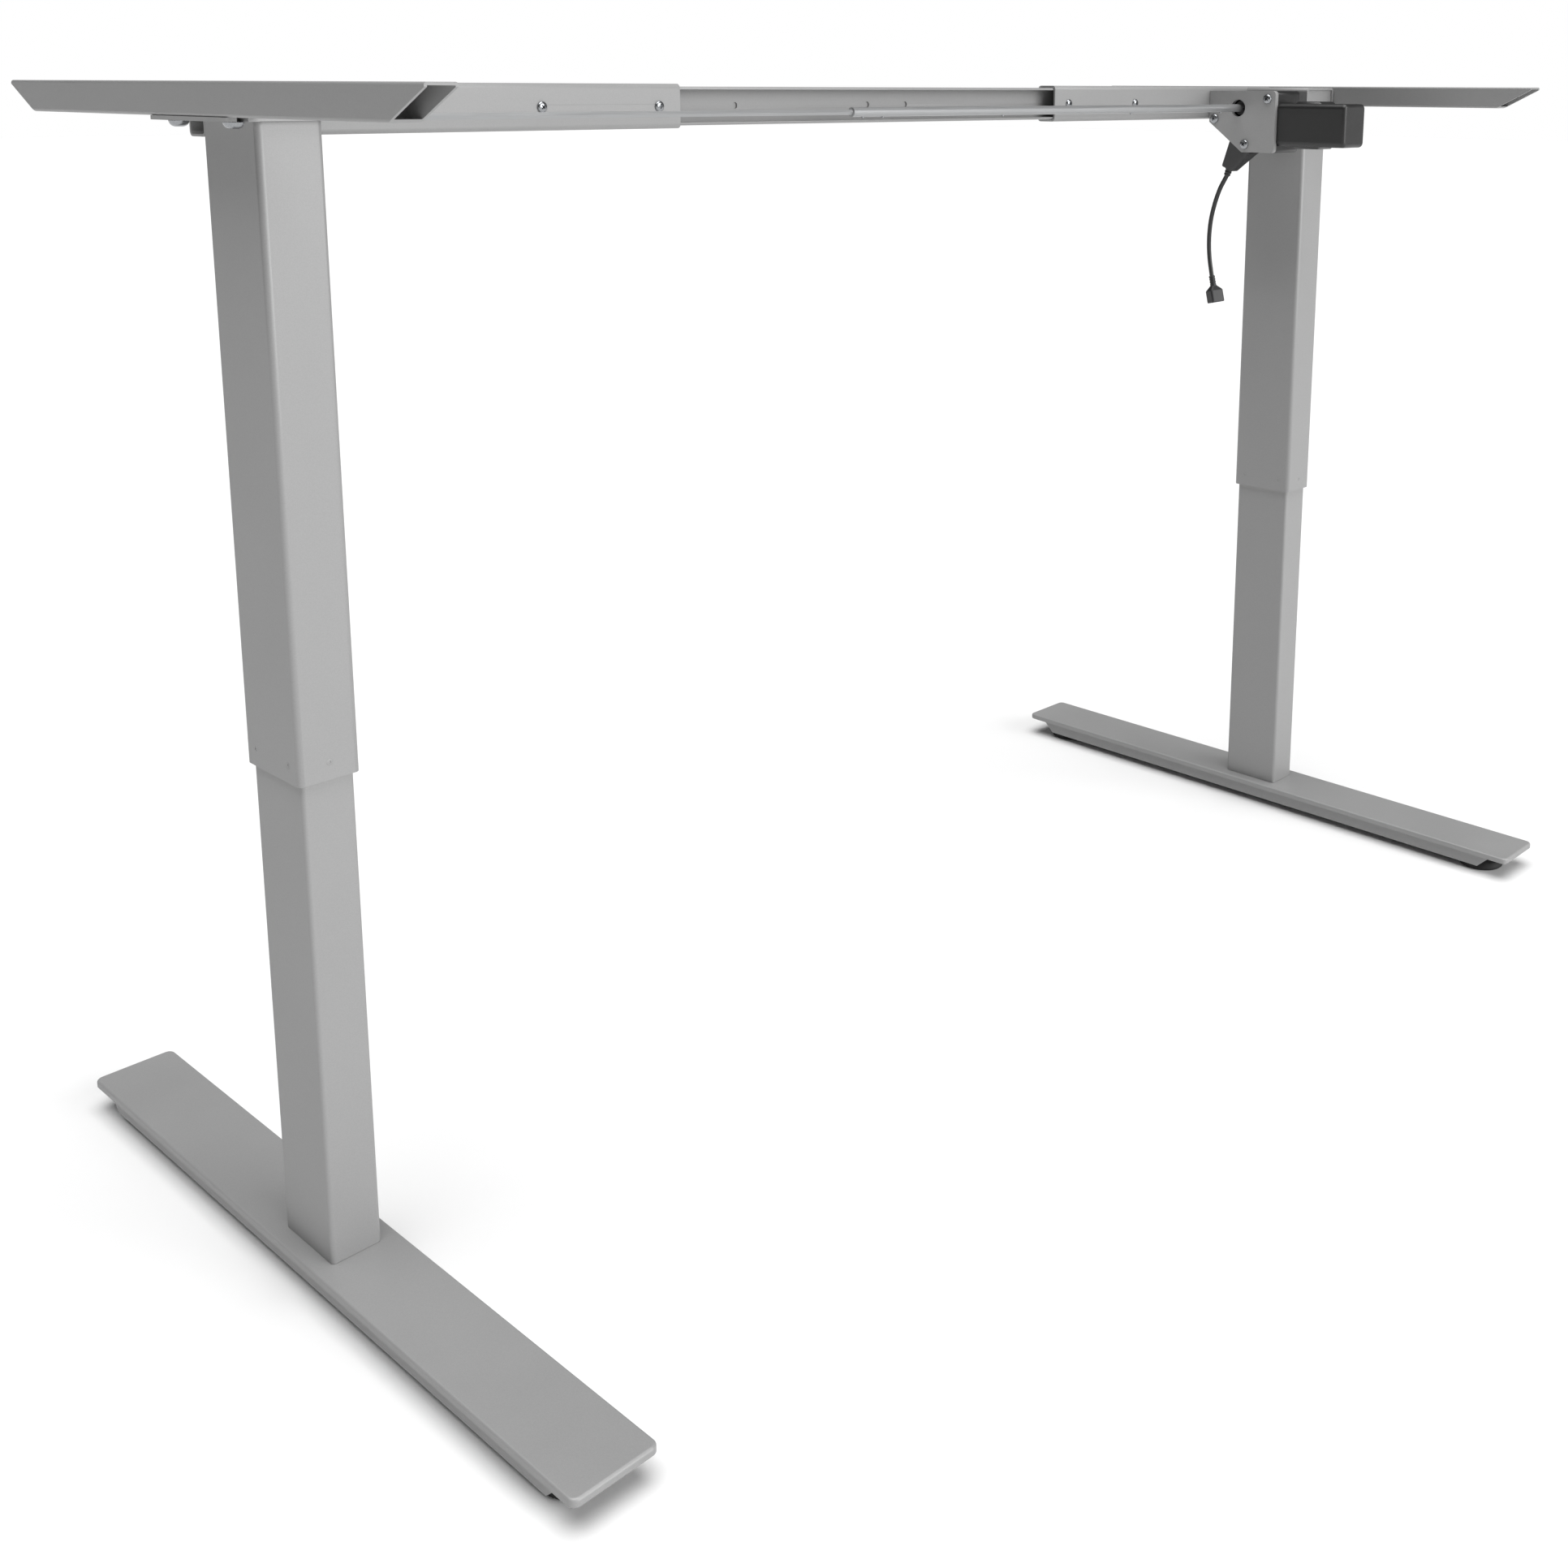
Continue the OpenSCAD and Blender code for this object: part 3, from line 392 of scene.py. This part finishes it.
# heads one unit in radius, seated on z = 0
pan_head = plain_object("pan_head", *turned_shape(
    [(0.42, -0.02), (0.96, 0), (1.0, 0.06), (0.99, 0.18), (0.93, 0.32), (0.8, 0.45), (0.6, 0.54),
     (0.35, 0.59), (0.08, 0.61)], 40))
for shape in cross_cutter():
    recut(pan_head, plain_object("cutter", *shape))
button_head = plain_object("button_head", *turned_shape(
    [(0.5, -0.02), (0.97, 0), (1.0, 0.07), (0.97, 0.22), (0.87, 0.42), (0.7, 0.58), (0.52, 0.66),
     (0.45, 0.68)], 40))
recut(button_head, plain_object("cutter", *turned_shape([(0.36, 0.25), (0.36, 0.9)], 6)))
flush_pin = plain_object("flush_pin", *turned_shape([(0.9, -0.5), (1.0, -0.3), (1.0, -0.02), (0.9, 0.03),
                                                     (0.45, 0.04), (0.4, -0.1), (0.1, -0.12)], 28))

tree = bpy.data.node_groups.new("screws_on_points", "GeometryNodeTree")
for socket, kind in (("Points", "NodeSocketGeometry"), ("Screw", "NodeSocketObject"),
                     ("Head radius", "NodeSocketFloat"),
                     ("Finish", "NodeSocketMaterial"), ("Seed", "NodeSocketInt")):
    tree.interface.new_socket(socket, in_out="INPUT", socket_type=kind)
tree.interface.new_socket("Screws", in_out="OUTPUT", socket_type="NodeSocketGeometry")
given = add(tree, "NodeGroupInput")
axis = add(tree, "GeometryNodeInputNamedAttribute", {"data_type": "FLOAT_VECTOR"}, {"Name": "axis"})
facing = add(tree, "FunctionNodeAlignRotationToVector", {"axis": "Z"},
             links={"Vector": axis.outputs["Attribute"]})
spin = add(tree, "FunctionNodeRandomValue", {"data_type": "FLOAT"}, {2: 0.0, 3: 1.57},
           {"Seed": given.outputs["Seed"]})
spin_by = add(tree, "FunctionNodeAxisAngleToRotation", inputs={"Axis": (0, 0, 1)},
              links={"Angle": spin.outputs[1]})
turned = add(tree, "FunctionNodeRotateRotation", {"rotation_space": "LOCAL"},
             links={"Rotation": facing.outputs[0], "Rotate By": spin_by.outputs[0]})
head = add(tree, "GeometryNodeObjectInfo", links={"Object": given.outputs["Screw"]})
placed = add(tree, "GeometryNodeInstanceOnPoints", links={
    "Points": given.outputs["Points"], "Instance": head.outputs["Geometry"], "Rotation": turned.outputs[0],
    "Scale": given.outputs["Head radius"]})
real = add(tree, "GeometryNodeRealizeInstances", links={"Geometry": placed.outputs[0]})
coated = add(tree, "GeometryNodeSetMaterial", links={"Geometry": real.outputs[0],
                                                     "Material": given.outputs["Finish"]})
add(tree, "NodeGroupOutput", links={"Screws": coated.outputs[0]})
screw_tree = tree


def set_screws(name, body, record_slot, material, head, radius, places, stands_for, seed=3):
    """Heads at (point, axis) places, made by the node tree and kept as one plain mesh."""
    carrier = plain_object(name + "_points", [p for p, _ in places], [])
    vector = carrier.data.attributes.new("axis", "FLOAT_VECTOR", "POINT")
    vector.data.foreach_set("vector", [c for _, a in places for c in a])
    grown = carrier.modifiers.new("screws", "NODES")
    grown.node_group = screw_tree
    wanted = {"Screw": head, "Head radius": radius, "Finish": material, "Seed": seed}
    for item in screw_tree.interface.items_tree:
        if item.item_type == "SOCKET" and item.in_out == "INPUT" and item.name in wanted:
            grown[item.identifier] = wanted[item.name]
    made = bpy.data.meshes.new_from_object(carrier.evaluated_get(bpy.context.evaluated_depsgraph_get()))
    verts = [v.co.copy() for v in made.vertices]
    faces = [tuple(p.vertices) for p in made.polygons]
    bpy.data.objects.remove(carrier)
    return mesh_piece(name, body, record_slot, material, verts, faces, stands_for, 28)


def islands(name):
    """(lowest, highest) corner of each separate solid of a CAD node, left to right."""
    shape = bmesh.new()
    shape.from_mesh(nodes[name].data)
    bmesh.ops.remove_doubles(shape, verts=shape.verts, dist=2e-6)
    left, found = set(shape.verts), []
    while left:
        todo, group = [left.pop()], []
        while todo:
            v = todo.pop()
            group.append(v.co.copy())
            for e in v.link_edges:
                other = e.other_vert(v)
                if other in left:
                    left.discard(other)
                    todo.append(other)
        found.append((Vector([min(c[i] for c in group) for i in range(3)]),
                      Vector([max(c[i] for c in group) for i in range(3)])))
    shape.free()
    return sorted(found, key=lambda b: tuple(b[0]))


# radius of each head, and how far its seat lies from the outer end of the CAD screw
CLAMP_R, CLAMP_H = 4.8 * MM, 3 * MM
BUTTON_R, BUTTON_H = 7 * MM, 5 * MM
COVER_R, COVER_H = 5.7 * MM, 3.4 * MM
DOWN, NEAR, INWARD = Vector((0, 0, -1)), Vector((0, -1, 0)), Vector((-1, 0, 0))
for side in SIDES:
    places = [(Vector(((a.x + b.x) / 2, a.y + CLAMP_H, (a.z + b.z) / 2)), NEAR)
              for a, b in islands("crossbar_screws_" + side)]
    set_screws("crossbar_pan_heads_" + side, "top_" + side, "zinc", zinc, pan_head, CLAMP_R, places,
               ["crossbar_screws_" + side], 5)
    places = [(Vector(((a.x + b.x) / 2, (a.y + b.y) / 2, a.z + BUTTON_H)), DOWN)
              for a, b in islands("bracket_bolts_" + side)]
    set_screws("bracket_button_heads_" + side, "top_" + side, "zinc", zinc, button_head, BUTTON_R, places,
               ["bracket_bolts_" + side], 8)
places = [(Vector((a.x + COVER_H, (a.y + b.y) / 2, (a.z + b.z) / 2)), INWARD)
          for a, b in islands("gearbox_screws")]
set_screws("cover_pan_heads", "top_right", "zinc", zinc, pan_head, COVER_R, places, ["gearbox_screws"], 11)
for name in ("foot_bolts_left", "foot_bolts_right", "grub_screws"):
    paint_node(name, zinc)

# ---------------------------------------------------------------------------------------------
# Columns: two welded rectangular tubes of 1.5 mm steel in each leg, the thin one stands on the foot.
# The thick one slides down over it, on plastic sleeves held by small flush pins.
# ---------------------------------------------------------------------------------------------
WALL, TUBE_EDGE, TUBE_ROUND = 1.5 * MM, 0.35 * MM, 3.5 * MM


def upright_tube(lo, hi, radius, wall, edge):
    mid, size = (lo + hi) / 2, hi - lo

    def tube_loop(inset, z):
        return [Vector((mid.x + x, mid.y + y, z))
                for x, y in rounded(size.x - 2 * inset, size.y - 2 * inset, max(radius - inset, 0.6 * MM), 10)]

    return skin([tube_loop(edge, lo.z), tube_loop(0, lo.z + edge),
                 tube_loop(0, hi.z - edge), tube_loop(edge, hi.z),
                 tube_loop(wall - edge, hi.z), tube_loop(wall, hi.z - edge),
                 tube_loop(wall, lo.z + edge), tube_loop(wall - edge, lo.z)], ring=True)


for side in SIDES:
    mesh_piece("inner_tube_" + side, "base_" + side, "silver_paint", silver,
               *upright_tube(*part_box("lower_column_" + side), TUBE_ROUND, WALL, TUBE_EDGE),
               ["lower_column_" + side])

for side in SIDES:
    mesh_piece("outer_tube_" + side, "top_" + side, "silver_paint", silver,
               *eased_copy("upper_column_" + side, TUBE_EDGE, 2), ["upper_column_" + side])

# cream white and slightly translucent, with faint flow marks
nylon, tree = new_material("moulded_natural_nylon")
coords = add(tree, "ShaderNodeTexCoord")
flow = add(tree, "ShaderNodeTexNoise", inputs={"Scale": 1 / (6 * MM), "Detail": 3.0},
           links={"Vector": coords.outputs["Object"]})
tone = add(tree, "ShaderNodeMix", {"data_type": "RGBA"}, {6: linear("#DAD6CA"), 7: linear("#E6E2D7")},
           {0: flow.outputs["Fac"]})
bump = add(tree, "ShaderNodeBump", inputs={"Strength": 0.1, "Distance": 0.05 * MM},
           links={"Height": flow.outputs["Fac"]})
finish_material(tree, add(tree, "ShaderNodeBsdfPrincipled",
                          inputs={"Roughness": 0.42, "IOR": 1.53, "Subsurface Weight": 0.05},
                          links={"Base Color": tone.outputs[2], "Normal": bump.outputs[0]}))
for name in nodes:
    if name.startswith(("upper_glide", "lower_glide", "lead_nut", "bearing_block", "screw_bevel",
                        "shaft_bevel")):
        paint_node(name, nylon)

# a satin black that catches light at its edges
satin_black, tree = new_material("moulded_black_nylon")
coords = add(tree, "ShaderNodeTexCoord")
# spark eroded mould texture, about 0.5 mm
spark = add(tree, "ShaderNodeTexNoise", inputs={"Scale": 1 / (0.5 * MM), "Detail": 2.0},
            links={"Vector": coords.outputs["Object"]})
sheen = add(tree, "ShaderNodeTexNoise", inputs={"Scale": 1 / (25 * MM), "Detail": 3.0},
            links={"Vector": coords.outputs["Object"]})
tone = add(tree, "ShaderNodeMix", {"data_type": "RGBA"}, {6: linear("#1C1C1D"), 7: linear("#262627")},
           {0: sheen.outputs["Fac"]})
bump = add(tree, "ShaderNodeBump", inputs={"Strength": 0.2, "Distance": 0.06 * MM},
           links={"Height": spark.outputs["Fac"]})
rough = add(tree, "ShaderNodeMapRange", inputs={1: 0.3, 2: 0.7, 3: 0.42, 4: 0.52},
            links={0: sheen.outputs["Fac"]})
finish_material(tree, add(tree, "ShaderNodeBsdfPrincipled", inputs={"IOR": 1.53},
                          links={"Base Color": tone.outputs[2], "Roughness": rough.outputs[0],
                                 "Normal": bump.outputs[0]}))
paint_node("worm_wheel", satin_black)
PIN_R, TOUCHING = 2.5 * MM, 0.01 * MM
for side in SIDES:
    outer_lo, outer_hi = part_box("upper_column_" + side)
    places = []
    for a, b in islands("glide_pins_" + side):
        c = (a + b) / 2
        on_x = abs(a.x - outer_lo.x) < TOUCHING or abs(b.x - outer_hi.x) < TOUCHING
        if on_x and abs(b.x - a.x) < abs(b.y - a.y):
            out = -1 if abs(a.x - outer_lo.x) < TOUCHING else 1
            places.append((Vector((outer_lo.x if out < 0 else outer_hi.x, c.y, c.z)), Vector((out, 0, 0))))
        else:
            out = -1 if abs(a.y - outer_lo.y) < TOUCHING else 1
            places.append((Vector((c.x, outer_lo.y if out < 0 else outer_hi.y, c.z)), Vector((0, out, 0))))
    set_screws("sleeve_pins_" + side, "top_" + side, "silver_paint", silver, flush_pin, PIN_R, places,
               ["glide_pins_" + side], 2)

# ---------------------------------------------------------------------------------------------
# Heads and side brackets: a folded 3 mm channel on each column, and a formed 2 mm tube bolted to it.
# The tube carries the table top; its ends are cut on a slant and stay open.
# ---------------------------------------------------------------------------------------------
BRACKET_EDGE = 0.4 * MM
for side in SIDES:
    mesh_piece("head_channel_" + side, "top_" + side, "silver_paint", silver,
               *eased_copy("head_plate_" + side, FOLD_EDGE, 2), ["head_plate_" + side])
    mesh_piece("side_tube_" + side, "top_" + side, "silver_paint", silver,
               *eased_copy("side_bracket_" + side, BRACKET_EDGE, 2), ["side_bracket_" + side])

# ---------------------------------------------------------------------------------------------
# Crossbar: a tube fixed to each head and a thinner rail that slides in both, all in painted steel.
# The tubes are rolled and welded, so that their long corners are rounded and their ends cut square.
# ---------------------------------------------------------------------------------------------
BAR_EDGE = 0.3 * MM
for side in SIDES:
    mesh_piece("bar_tube_" + side, "top_" + side, "silver_paint", silver,
               *eased_copy("crossbar_" + side, BAR_EDGE, 2), ["crossbar_" + side])

# the small holes in the rail's web are drawn closed at the back, as shallow dimples:
# places along the rail, radius, and where the floor of each lies from the web's back, in mm
WEB_HOLES, DIMPLE_R, DIMPLE_FLOOR = (-185, -10, 45), 3.3, (-0.9, -0.2)
web_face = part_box("crossbar_centre")[1].y
wells = []
for x in WEB_HOLES:
    centre = Vector((x * MM, web_face,
                     (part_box("crossbar_centre")[0].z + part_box("crossbar_centre")[1].z) / 2))
    wells.append(skin([[centre + Vector((DIMPLE_R * MM * math.cos(a), y * MM, DIMPLE_R * MM * math.sin(a)))
                        for a in [2 * math.pi * k / 20 for k in range(20)]] for y in DIMPLE_FLOOR]))
mesh_piece("bar_rail", "rail", "silver_paint", silver,
           *joined(eased_copy("crossbar_centre", BAR_EDGE, 2), *wells), ["crossbar_centre"])

# ---------------------------------------------------------------------------------------------
# Drive shaft: a drawn hexagon rod that slides in a thin steel tube, locked by small set screws.
# Both are bare ground steel with a fine finish along their length: light grey, one long soft highlight.
# ---------------------------------------------------------------------------------------------
ground, tree = new_material("ground_bright_steel")
coords = add(tree, "ShaderNodeTexCoord")
# grinding lines run along the shaft, drawn 0.3 mm apart and 60 mm long
stretched = add(tree, "ShaderNodeMapping", inputs={"Scale": (1 / (60 * MM), 1 / (0.3 * MM),
                                                             1 / (0.3 * MM))},
                links={"Vector": coords.outputs["Object"]})
lines = add(tree, "ShaderNodeTexNoise", inputs={"Scale": 1.0, "Detail": 2.0},
            links={"Vector": stretched.outputs[0]})
tone = add(tree, "ShaderNodeMix", {"data_type": "RGBA"}, {6: linear("#9C9D9E"), 7: linear("#B2B3B4")},
           {0: lines.outputs["Fac"]})
bump = add(tree, "ShaderNodeBump", inputs={"Strength": 0.1, "Distance": 0.03 * MM},
           links={"Height": lines.outputs["Fac"]})
rough = add(tree, "ShaderNodeMapRange", inputs={1: 0.3, 2: 0.7, 3: 0.42, 4: 0.54},
            links={0: lines.outputs["Fac"]})
finish_material(tree, add(tree, "ShaderNodeBsdfPrincipled", inputs={"Metallic": 0.9},
                          links={"Base Color": tone.outputs[2], "Roughness": rough.outputs[0],
                                 "Normal": bump.outputs[0]}))
for name in ("hex_rod", "shaft_tube", "leadscrew_left", "leadscrew_right", "worm"):
    paint_node(name, ground)

# ---------------------------------------------------------------------------------------------
# Gearbox and motor: a die-cast case painted black with a steel cover of 6 mm on its inner side.
# The motor stands out towards the user's side in a pressed black can with soft corners.
# ---------------------------------------------------------------------------------------------
COVER_EDGE, CASE_EDGE = 0.8 * MM, 0.7 * MM
mesh_piece("gear_cover_plate", "top_right", "silver_paint", silver,
           *eased_copy("gearbox_cover", COVER_EDGE, 3), ["gearbox_cover"])

# black paint over a sand-rough casting: soft wide highlights on a fine grit
cast_black, tree = new_material("black_painted_casting")
coords = add(tree, "ShaderNodeTexCoord")
grit = add(tree, "ShaderNodeTexNoise", inputs={"Scale": 1 / (0.9 * MM), "Detail": 4.0},
           links={"Vector": coords.outputs["Object"]})
wide = add(tree, "ShaderNodeTexNoise", inputs={"Scale": 1 / (30 * MM), "Detail": 3.0},
           links={"Vector": coords.outputs["Object"]})
tone = add(tree, "ShaderNodeMix", {"data_type": "RGBA"}, {6: linear("#111111"), 7: linear("#191919")},
           {0: wide.outputs["Fac"]})
bump = add(tree, "ShaderNodeBump", inputs={"Strength": 0.3, "Distance": 0.08 * MM},
           links={"Height": grit.outputs["Fac"]})
rough = add(tree, "ShaderNodeMapRange", inputs={1: 0.3, 2: 0.7, 3: 0.36, 4: 0.48},
            links={0: wide.outputs["Fac"]})
finish_material(tree, add(tree, "ShaderNodeBsdfPrincipled",
                          inputs={"IOR": 1.5, "Coat Weight": 0.2, "Coat Roughness": 0.3},
                          links={"Base Color": tone.outputs[2], "Roughness": rough.outputs[0],
                                 "Normal": bump.outputs[0]}))
mesh_piece("gear_case", "top_right", "black_paint", cast_black,
           *eased_copy("gearbox_housing", CASE_EDGE, 2), ["gearbox_housing"])

lo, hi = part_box("motor_body")
mid = (lo + hi) / 2
CAN_W, CAN_H, CAN_R, END_R = 47 * MM, 50.5 * MM, 6 * MM, 4 * MM


def can_loop(width, height, radius, y):
    return [Vector((mid.x + x, y, mid.z + z)) for x, z in rounded(width, height, radius, 8)]


loops = []
for k in range(7):
    a = math.radians(90 * k / 6)
    inset = END_R * (1 - math.sin(a))
    loops.append(can_loop(CAN_W - 2 * inset, CAN_H - 2 * inset, max(CAN_R - inset, 1.5 * MM),
                          lo.y + END_R * (1 - math.cos(a))))
loops += [can_loop(CAN_W, CAN_H, CAN_R, hi.y - 0.6 * MM),
          can_loop(CAN_W - 1.2 * MM, CAN_H - 1.2 * MM, CAN_R - 0.6 * MM, hi.y)]
can = skin(loops)
# a low raised band round the can
band_lo, band_hi = hi.y - 56 * MM, hi.y - 19 * MM
band = skin([can_loop(CAN_W - 14 * MM, CAN_H - 1 * MM, 2 * MM, band_lo),
             can_loop(CAN_W - 10 * MM, hi.z - lo.z, 5 * MM, band_lo + 4 * MM),
             can_loop(CAN_W - 10 * MM, hi.z - lo.z, 5 * MM, band_hi - 4 * MM),
             can_loop(CAN_W - 14 * MM, CAN_H - 1 * MM, 2 * MM, band_hi)])
mesh_piece("motor_can", "top_right", "black_paint", cast_black, *joined(can, band), ["motor_body"])

# ---------------------------------------------------------------------------------------------
# Cord outlet: a moulded funnel on the slanted underside of the case, ending in a ribbed relief.
# The cord hangs from it in one loose bow, and ends in a moulded plug with a notch.
# ---------------------------------------------------------------------------------------------
leg = (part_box("upper_column_right")[0].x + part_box("upper_column_right")[1].x) / 2
shaft = (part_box("shaft_tube")[0].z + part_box("shaft_tube")[1].z) / 2
BASE_TILT, TIP_TILT = math.atan2(35.5, 47.7), math.radians(22)
# the funnel's base on the slanted face and its tip, from the leg's middle and the shaft
outlet = Vector((leg - 88 * MM, 4.305 * MM, shaft - 44.086 * MM))
tip = Vector((leg - 88 * MM, 25.5 * MM, shaft - 74 * MM))
OUT = Vector((0, math.sin(TIP_TILT), -math.cos(TIP_TILT)))
ACROSS = Vector((1, 0, 0))


def funnel_loop(wide, long, radius, t, back=0.0):
    tilt = BASE_TILT + (TIP_TILT - BASE_TILT) * t
    along, out = Vector((0, math.cos(tilt), math.sin(tilt))), Vector((0, math.sin(tilt), -math.cos(tilt)))
    centre = outlet.lerp(tip, t) - out * back
    return [centre + ACROSS * x * MM + along * y * MM for x, y in rounded(wide, long, radius, 6)]


# width, length and corner radius in mm, and how far along towards the tip
funnel = skin([funnel_loop(26, 34, 3, 0, -0.1 * MM)] + [funnel_loop(*sizes) for sizes in (
    (25.6, 33.4, 4, 0.04), (22.4, 29.2, 4, 0.3), (18.2, 23.6, 4, 0.65),
    (14.6, 18.8, 3.6, 0.95), (13.8, 17.8, 3.4, 0.985), (12, 16, 3, 1.0))])
mesh_piece("cord_funnel", "top_right", "black_plastic", satin_black, *funnel, ["cable_gland"])


def along_axis(start, axis, side, profile, sides=24):
    """A turned shape round any axis from (radius, distance) pairs."""
    other = axis.cross(side)
    turns = [2 * math.pi * k / sides for k in range(sides)]
    return skin([[start + axis * d + side * (r * math.cos(a)) + other * (r * math.sin(a)) for a in turns]
                 for r, d in profile])


# three ribs, each 0.3 mm smaller than the one before
RIB_PITCH = 3.2
ribs = [(3.4 * MM, 0)]
for k in range(3):
    r, at = (4.6 - 0.3 * k) * MM, RIB_PITCH * k
    ribs += [(r - 0.3 * MM, (0.2 + at) * MM), (r, (0.6 + at) * MM), (r, (1.8 + at) * MM),
             (r - 0.3 * MM, (2.2 + at) * MM), (3.5 * MM, (2.4 + at) * MM), (3.4 * MM, (3.0 + at) * MM)]
ribs[-2:] = [(3.2 * MM, 9.4 * MM), (2.85 * MM, 9.98 * MM)]
relief = mesh_piece("ribbed_relief", "top_right", "black_plastic", satin_black,
                    *along_axis(tip, OUT, ACROSS, ribs), ["strain_relief"])

# smooth flexible sheath with one soft highlight along it
jacket, tree = new_material("black_pvc_cord_jacket")
coords = add(tree, "ShaderNodeTexCoord")
matt = add(tree, "ShaderNodeTexNoise", inputs={"Scale": 1 / (2 * MM), "Detail": 3.0},
           links={"Vector": coords.outputs["Object"]})
tone = add(tree, "ShaderNodeMix", {"data_type": "RGBA"}, {6: linear("#1A1A1B"), 7: linear("#272728")},
           {0: matt.outputs["Fac"]})
bump = add(tree, "ShaderNodeBump", inputs={"Strength": 0.12, "Distance": 0.05 * MM},
           links={"Height": matt.outputs["Fac"]})
finish_material(tree, add(tree, "ShaderNodeBsdfPrincipled", inputs={"Roughness": 0.4, "IOR": 1.52},
                          links={"Base Color": tone.outputs[2], "Normal": bump.outputs[0]}))
end_of_relief = tip + OUT * 10 * MM
# y across the desk, and height from the shaft
route = [(tip.y + OUT.y * 0.05 * MM, tip.z + OUT.z * 0.05 * MM - shaft),
         (end_of_relief.y, end_of_relief.z - shaft)]
route += [(y * MM, z * MM) for y, z in ((38, -99), (45, -118), (50, -139.7), (51.6, -162.6), (50, -185.4),
                                        (45.6, -208.1))]
CORD_R = 2.75 * MM


def spline(a, b, c, d, t):
    """A smooth curve from b to c."""
    bent = (2 * a - 5 * b + 4 * c - d) * t * t + (3 * b - a - 3 * c + d) * t ** 3
    return 0.5 * (2 * b + (c - a) * t + bent)


knots = [Vector((outlet.x, y, shaft + z)) for y, z in route]
knots = [2 * knots[0] - knots[1]] + knots + [2 * knots[-1] - knots[-2]]
# five steps to a leg of the route
path = [spline(*knots[i - 1:i + 3], k / 5) for i in range(1, len(knots) - 2)
        for k in range(5)] + [knots[-2]]
loops = []
for i, point in enumerate(path):
    ahead = (path[min(i + 1, len(path) - 1)] - path[max(i - 1, 0)]).normalized()
    side_way = ahead.cross(ACROSS)
    loops.append([point + CORD_R * (ACROSS * math.cos(a) + side_way * math.sin(a))
                  for a in [2 * math.pi * k / 16 for k in range(16)]])
cord = mesh_piece("motor_lead", "top_right", "cord_jacket", jacket, *skin(loops), ["motor_cord"])

# moulded plug: a ribbed neck, shoulders and two prongs with a round notch between them
plug_at = knots[-2]
LEAN = Matrix.Rotation(math.radians(-13.4), 3, "X")
DROP = LEAN @ Vector((0, 0, -1))
TURN = math.radians(21)
THICK = LEAN @ Vector((-math.sin(TURN), -math.cos(TURN), 0))
WIDE = LEAN @ Vector((math.cos(TURN), -math.sin(TURN), 0))


def plug_loop(thick, wide, radius, drop):
    return [plug_at + THICK * x * MM + WIDE * y * MM + DROP * drop * MM
            for x, y in rounded(thick, wide, radius, 5)]


rings = [(3.1, 0.1), (3.8, 0.7)]
for k in range(3):
    at = RIB_PITCH * k
    rings += [(3.85, 2.4 + at), (3.4, 2.8 + at), (3.4, 3.6 + at), (3.85, 4.0 + at)]
rings += [(3.85, 13.2)]
neck = along_axis(plug_at, DROP, ACROSS, [(r * MM, d * MM) for r, d in rings])
# thickness, width, corner radius and distance down from the neck's start, in mm
shell = plain_object("shell", *skin([plug_loop(*sizes) for sizes in (
    (7.6, 7.6, 2.4, 12.9), (8.4, 9, 2.4, 13.9), (13.2, 16.8, 2.2, 18.1),
    (14, 18, 2.2, 19.2), (14, 18, 2, 33.2), (12.8, 16.8, 1.6, 33.95))]))
# the notch is cut right through, from past the end up to a round top
NOTCH_R, NOTCH_AT, PAST_END, PAST_SIDE = 4, 31.5, 40, 9
notch = [(-NOTCH_R, PAST_END)]
for k in range(13):
    turn = math.radians(15 * k)
    notch.append((-NOTCH_R * math.cos(turn), NOTCH_AT - NOTCH_R * math.sin(turn)))
notch.append((NOTCH_R, PAST_END))
notch_loops = [[plug_at + THICK * x * MM + WIDE * y * MM + DROP * d * MM for y, d in notch]
               for x in (-PAST_SIDE, PAST_SIDE)]
recut(shell, plain_object("cutter", *skin(notch_loops)))
shell_shape = ([v.co.copy() for v in shell.data.vertices], [tuple(f.vertices) for f in shell.data.polygons])
bpy.data.objects.remove(shell)
plug = mesh_piece("plug_housing", "top_right", "black_plastic", satin_black, *joined(neck, shell_shape),
                  ["cord_connector"])

# the screw heads were only patterns for the node tree
for pattern in (pan_head, button_head, flush_pin):
    bpy.data.objects.remove(pattern)
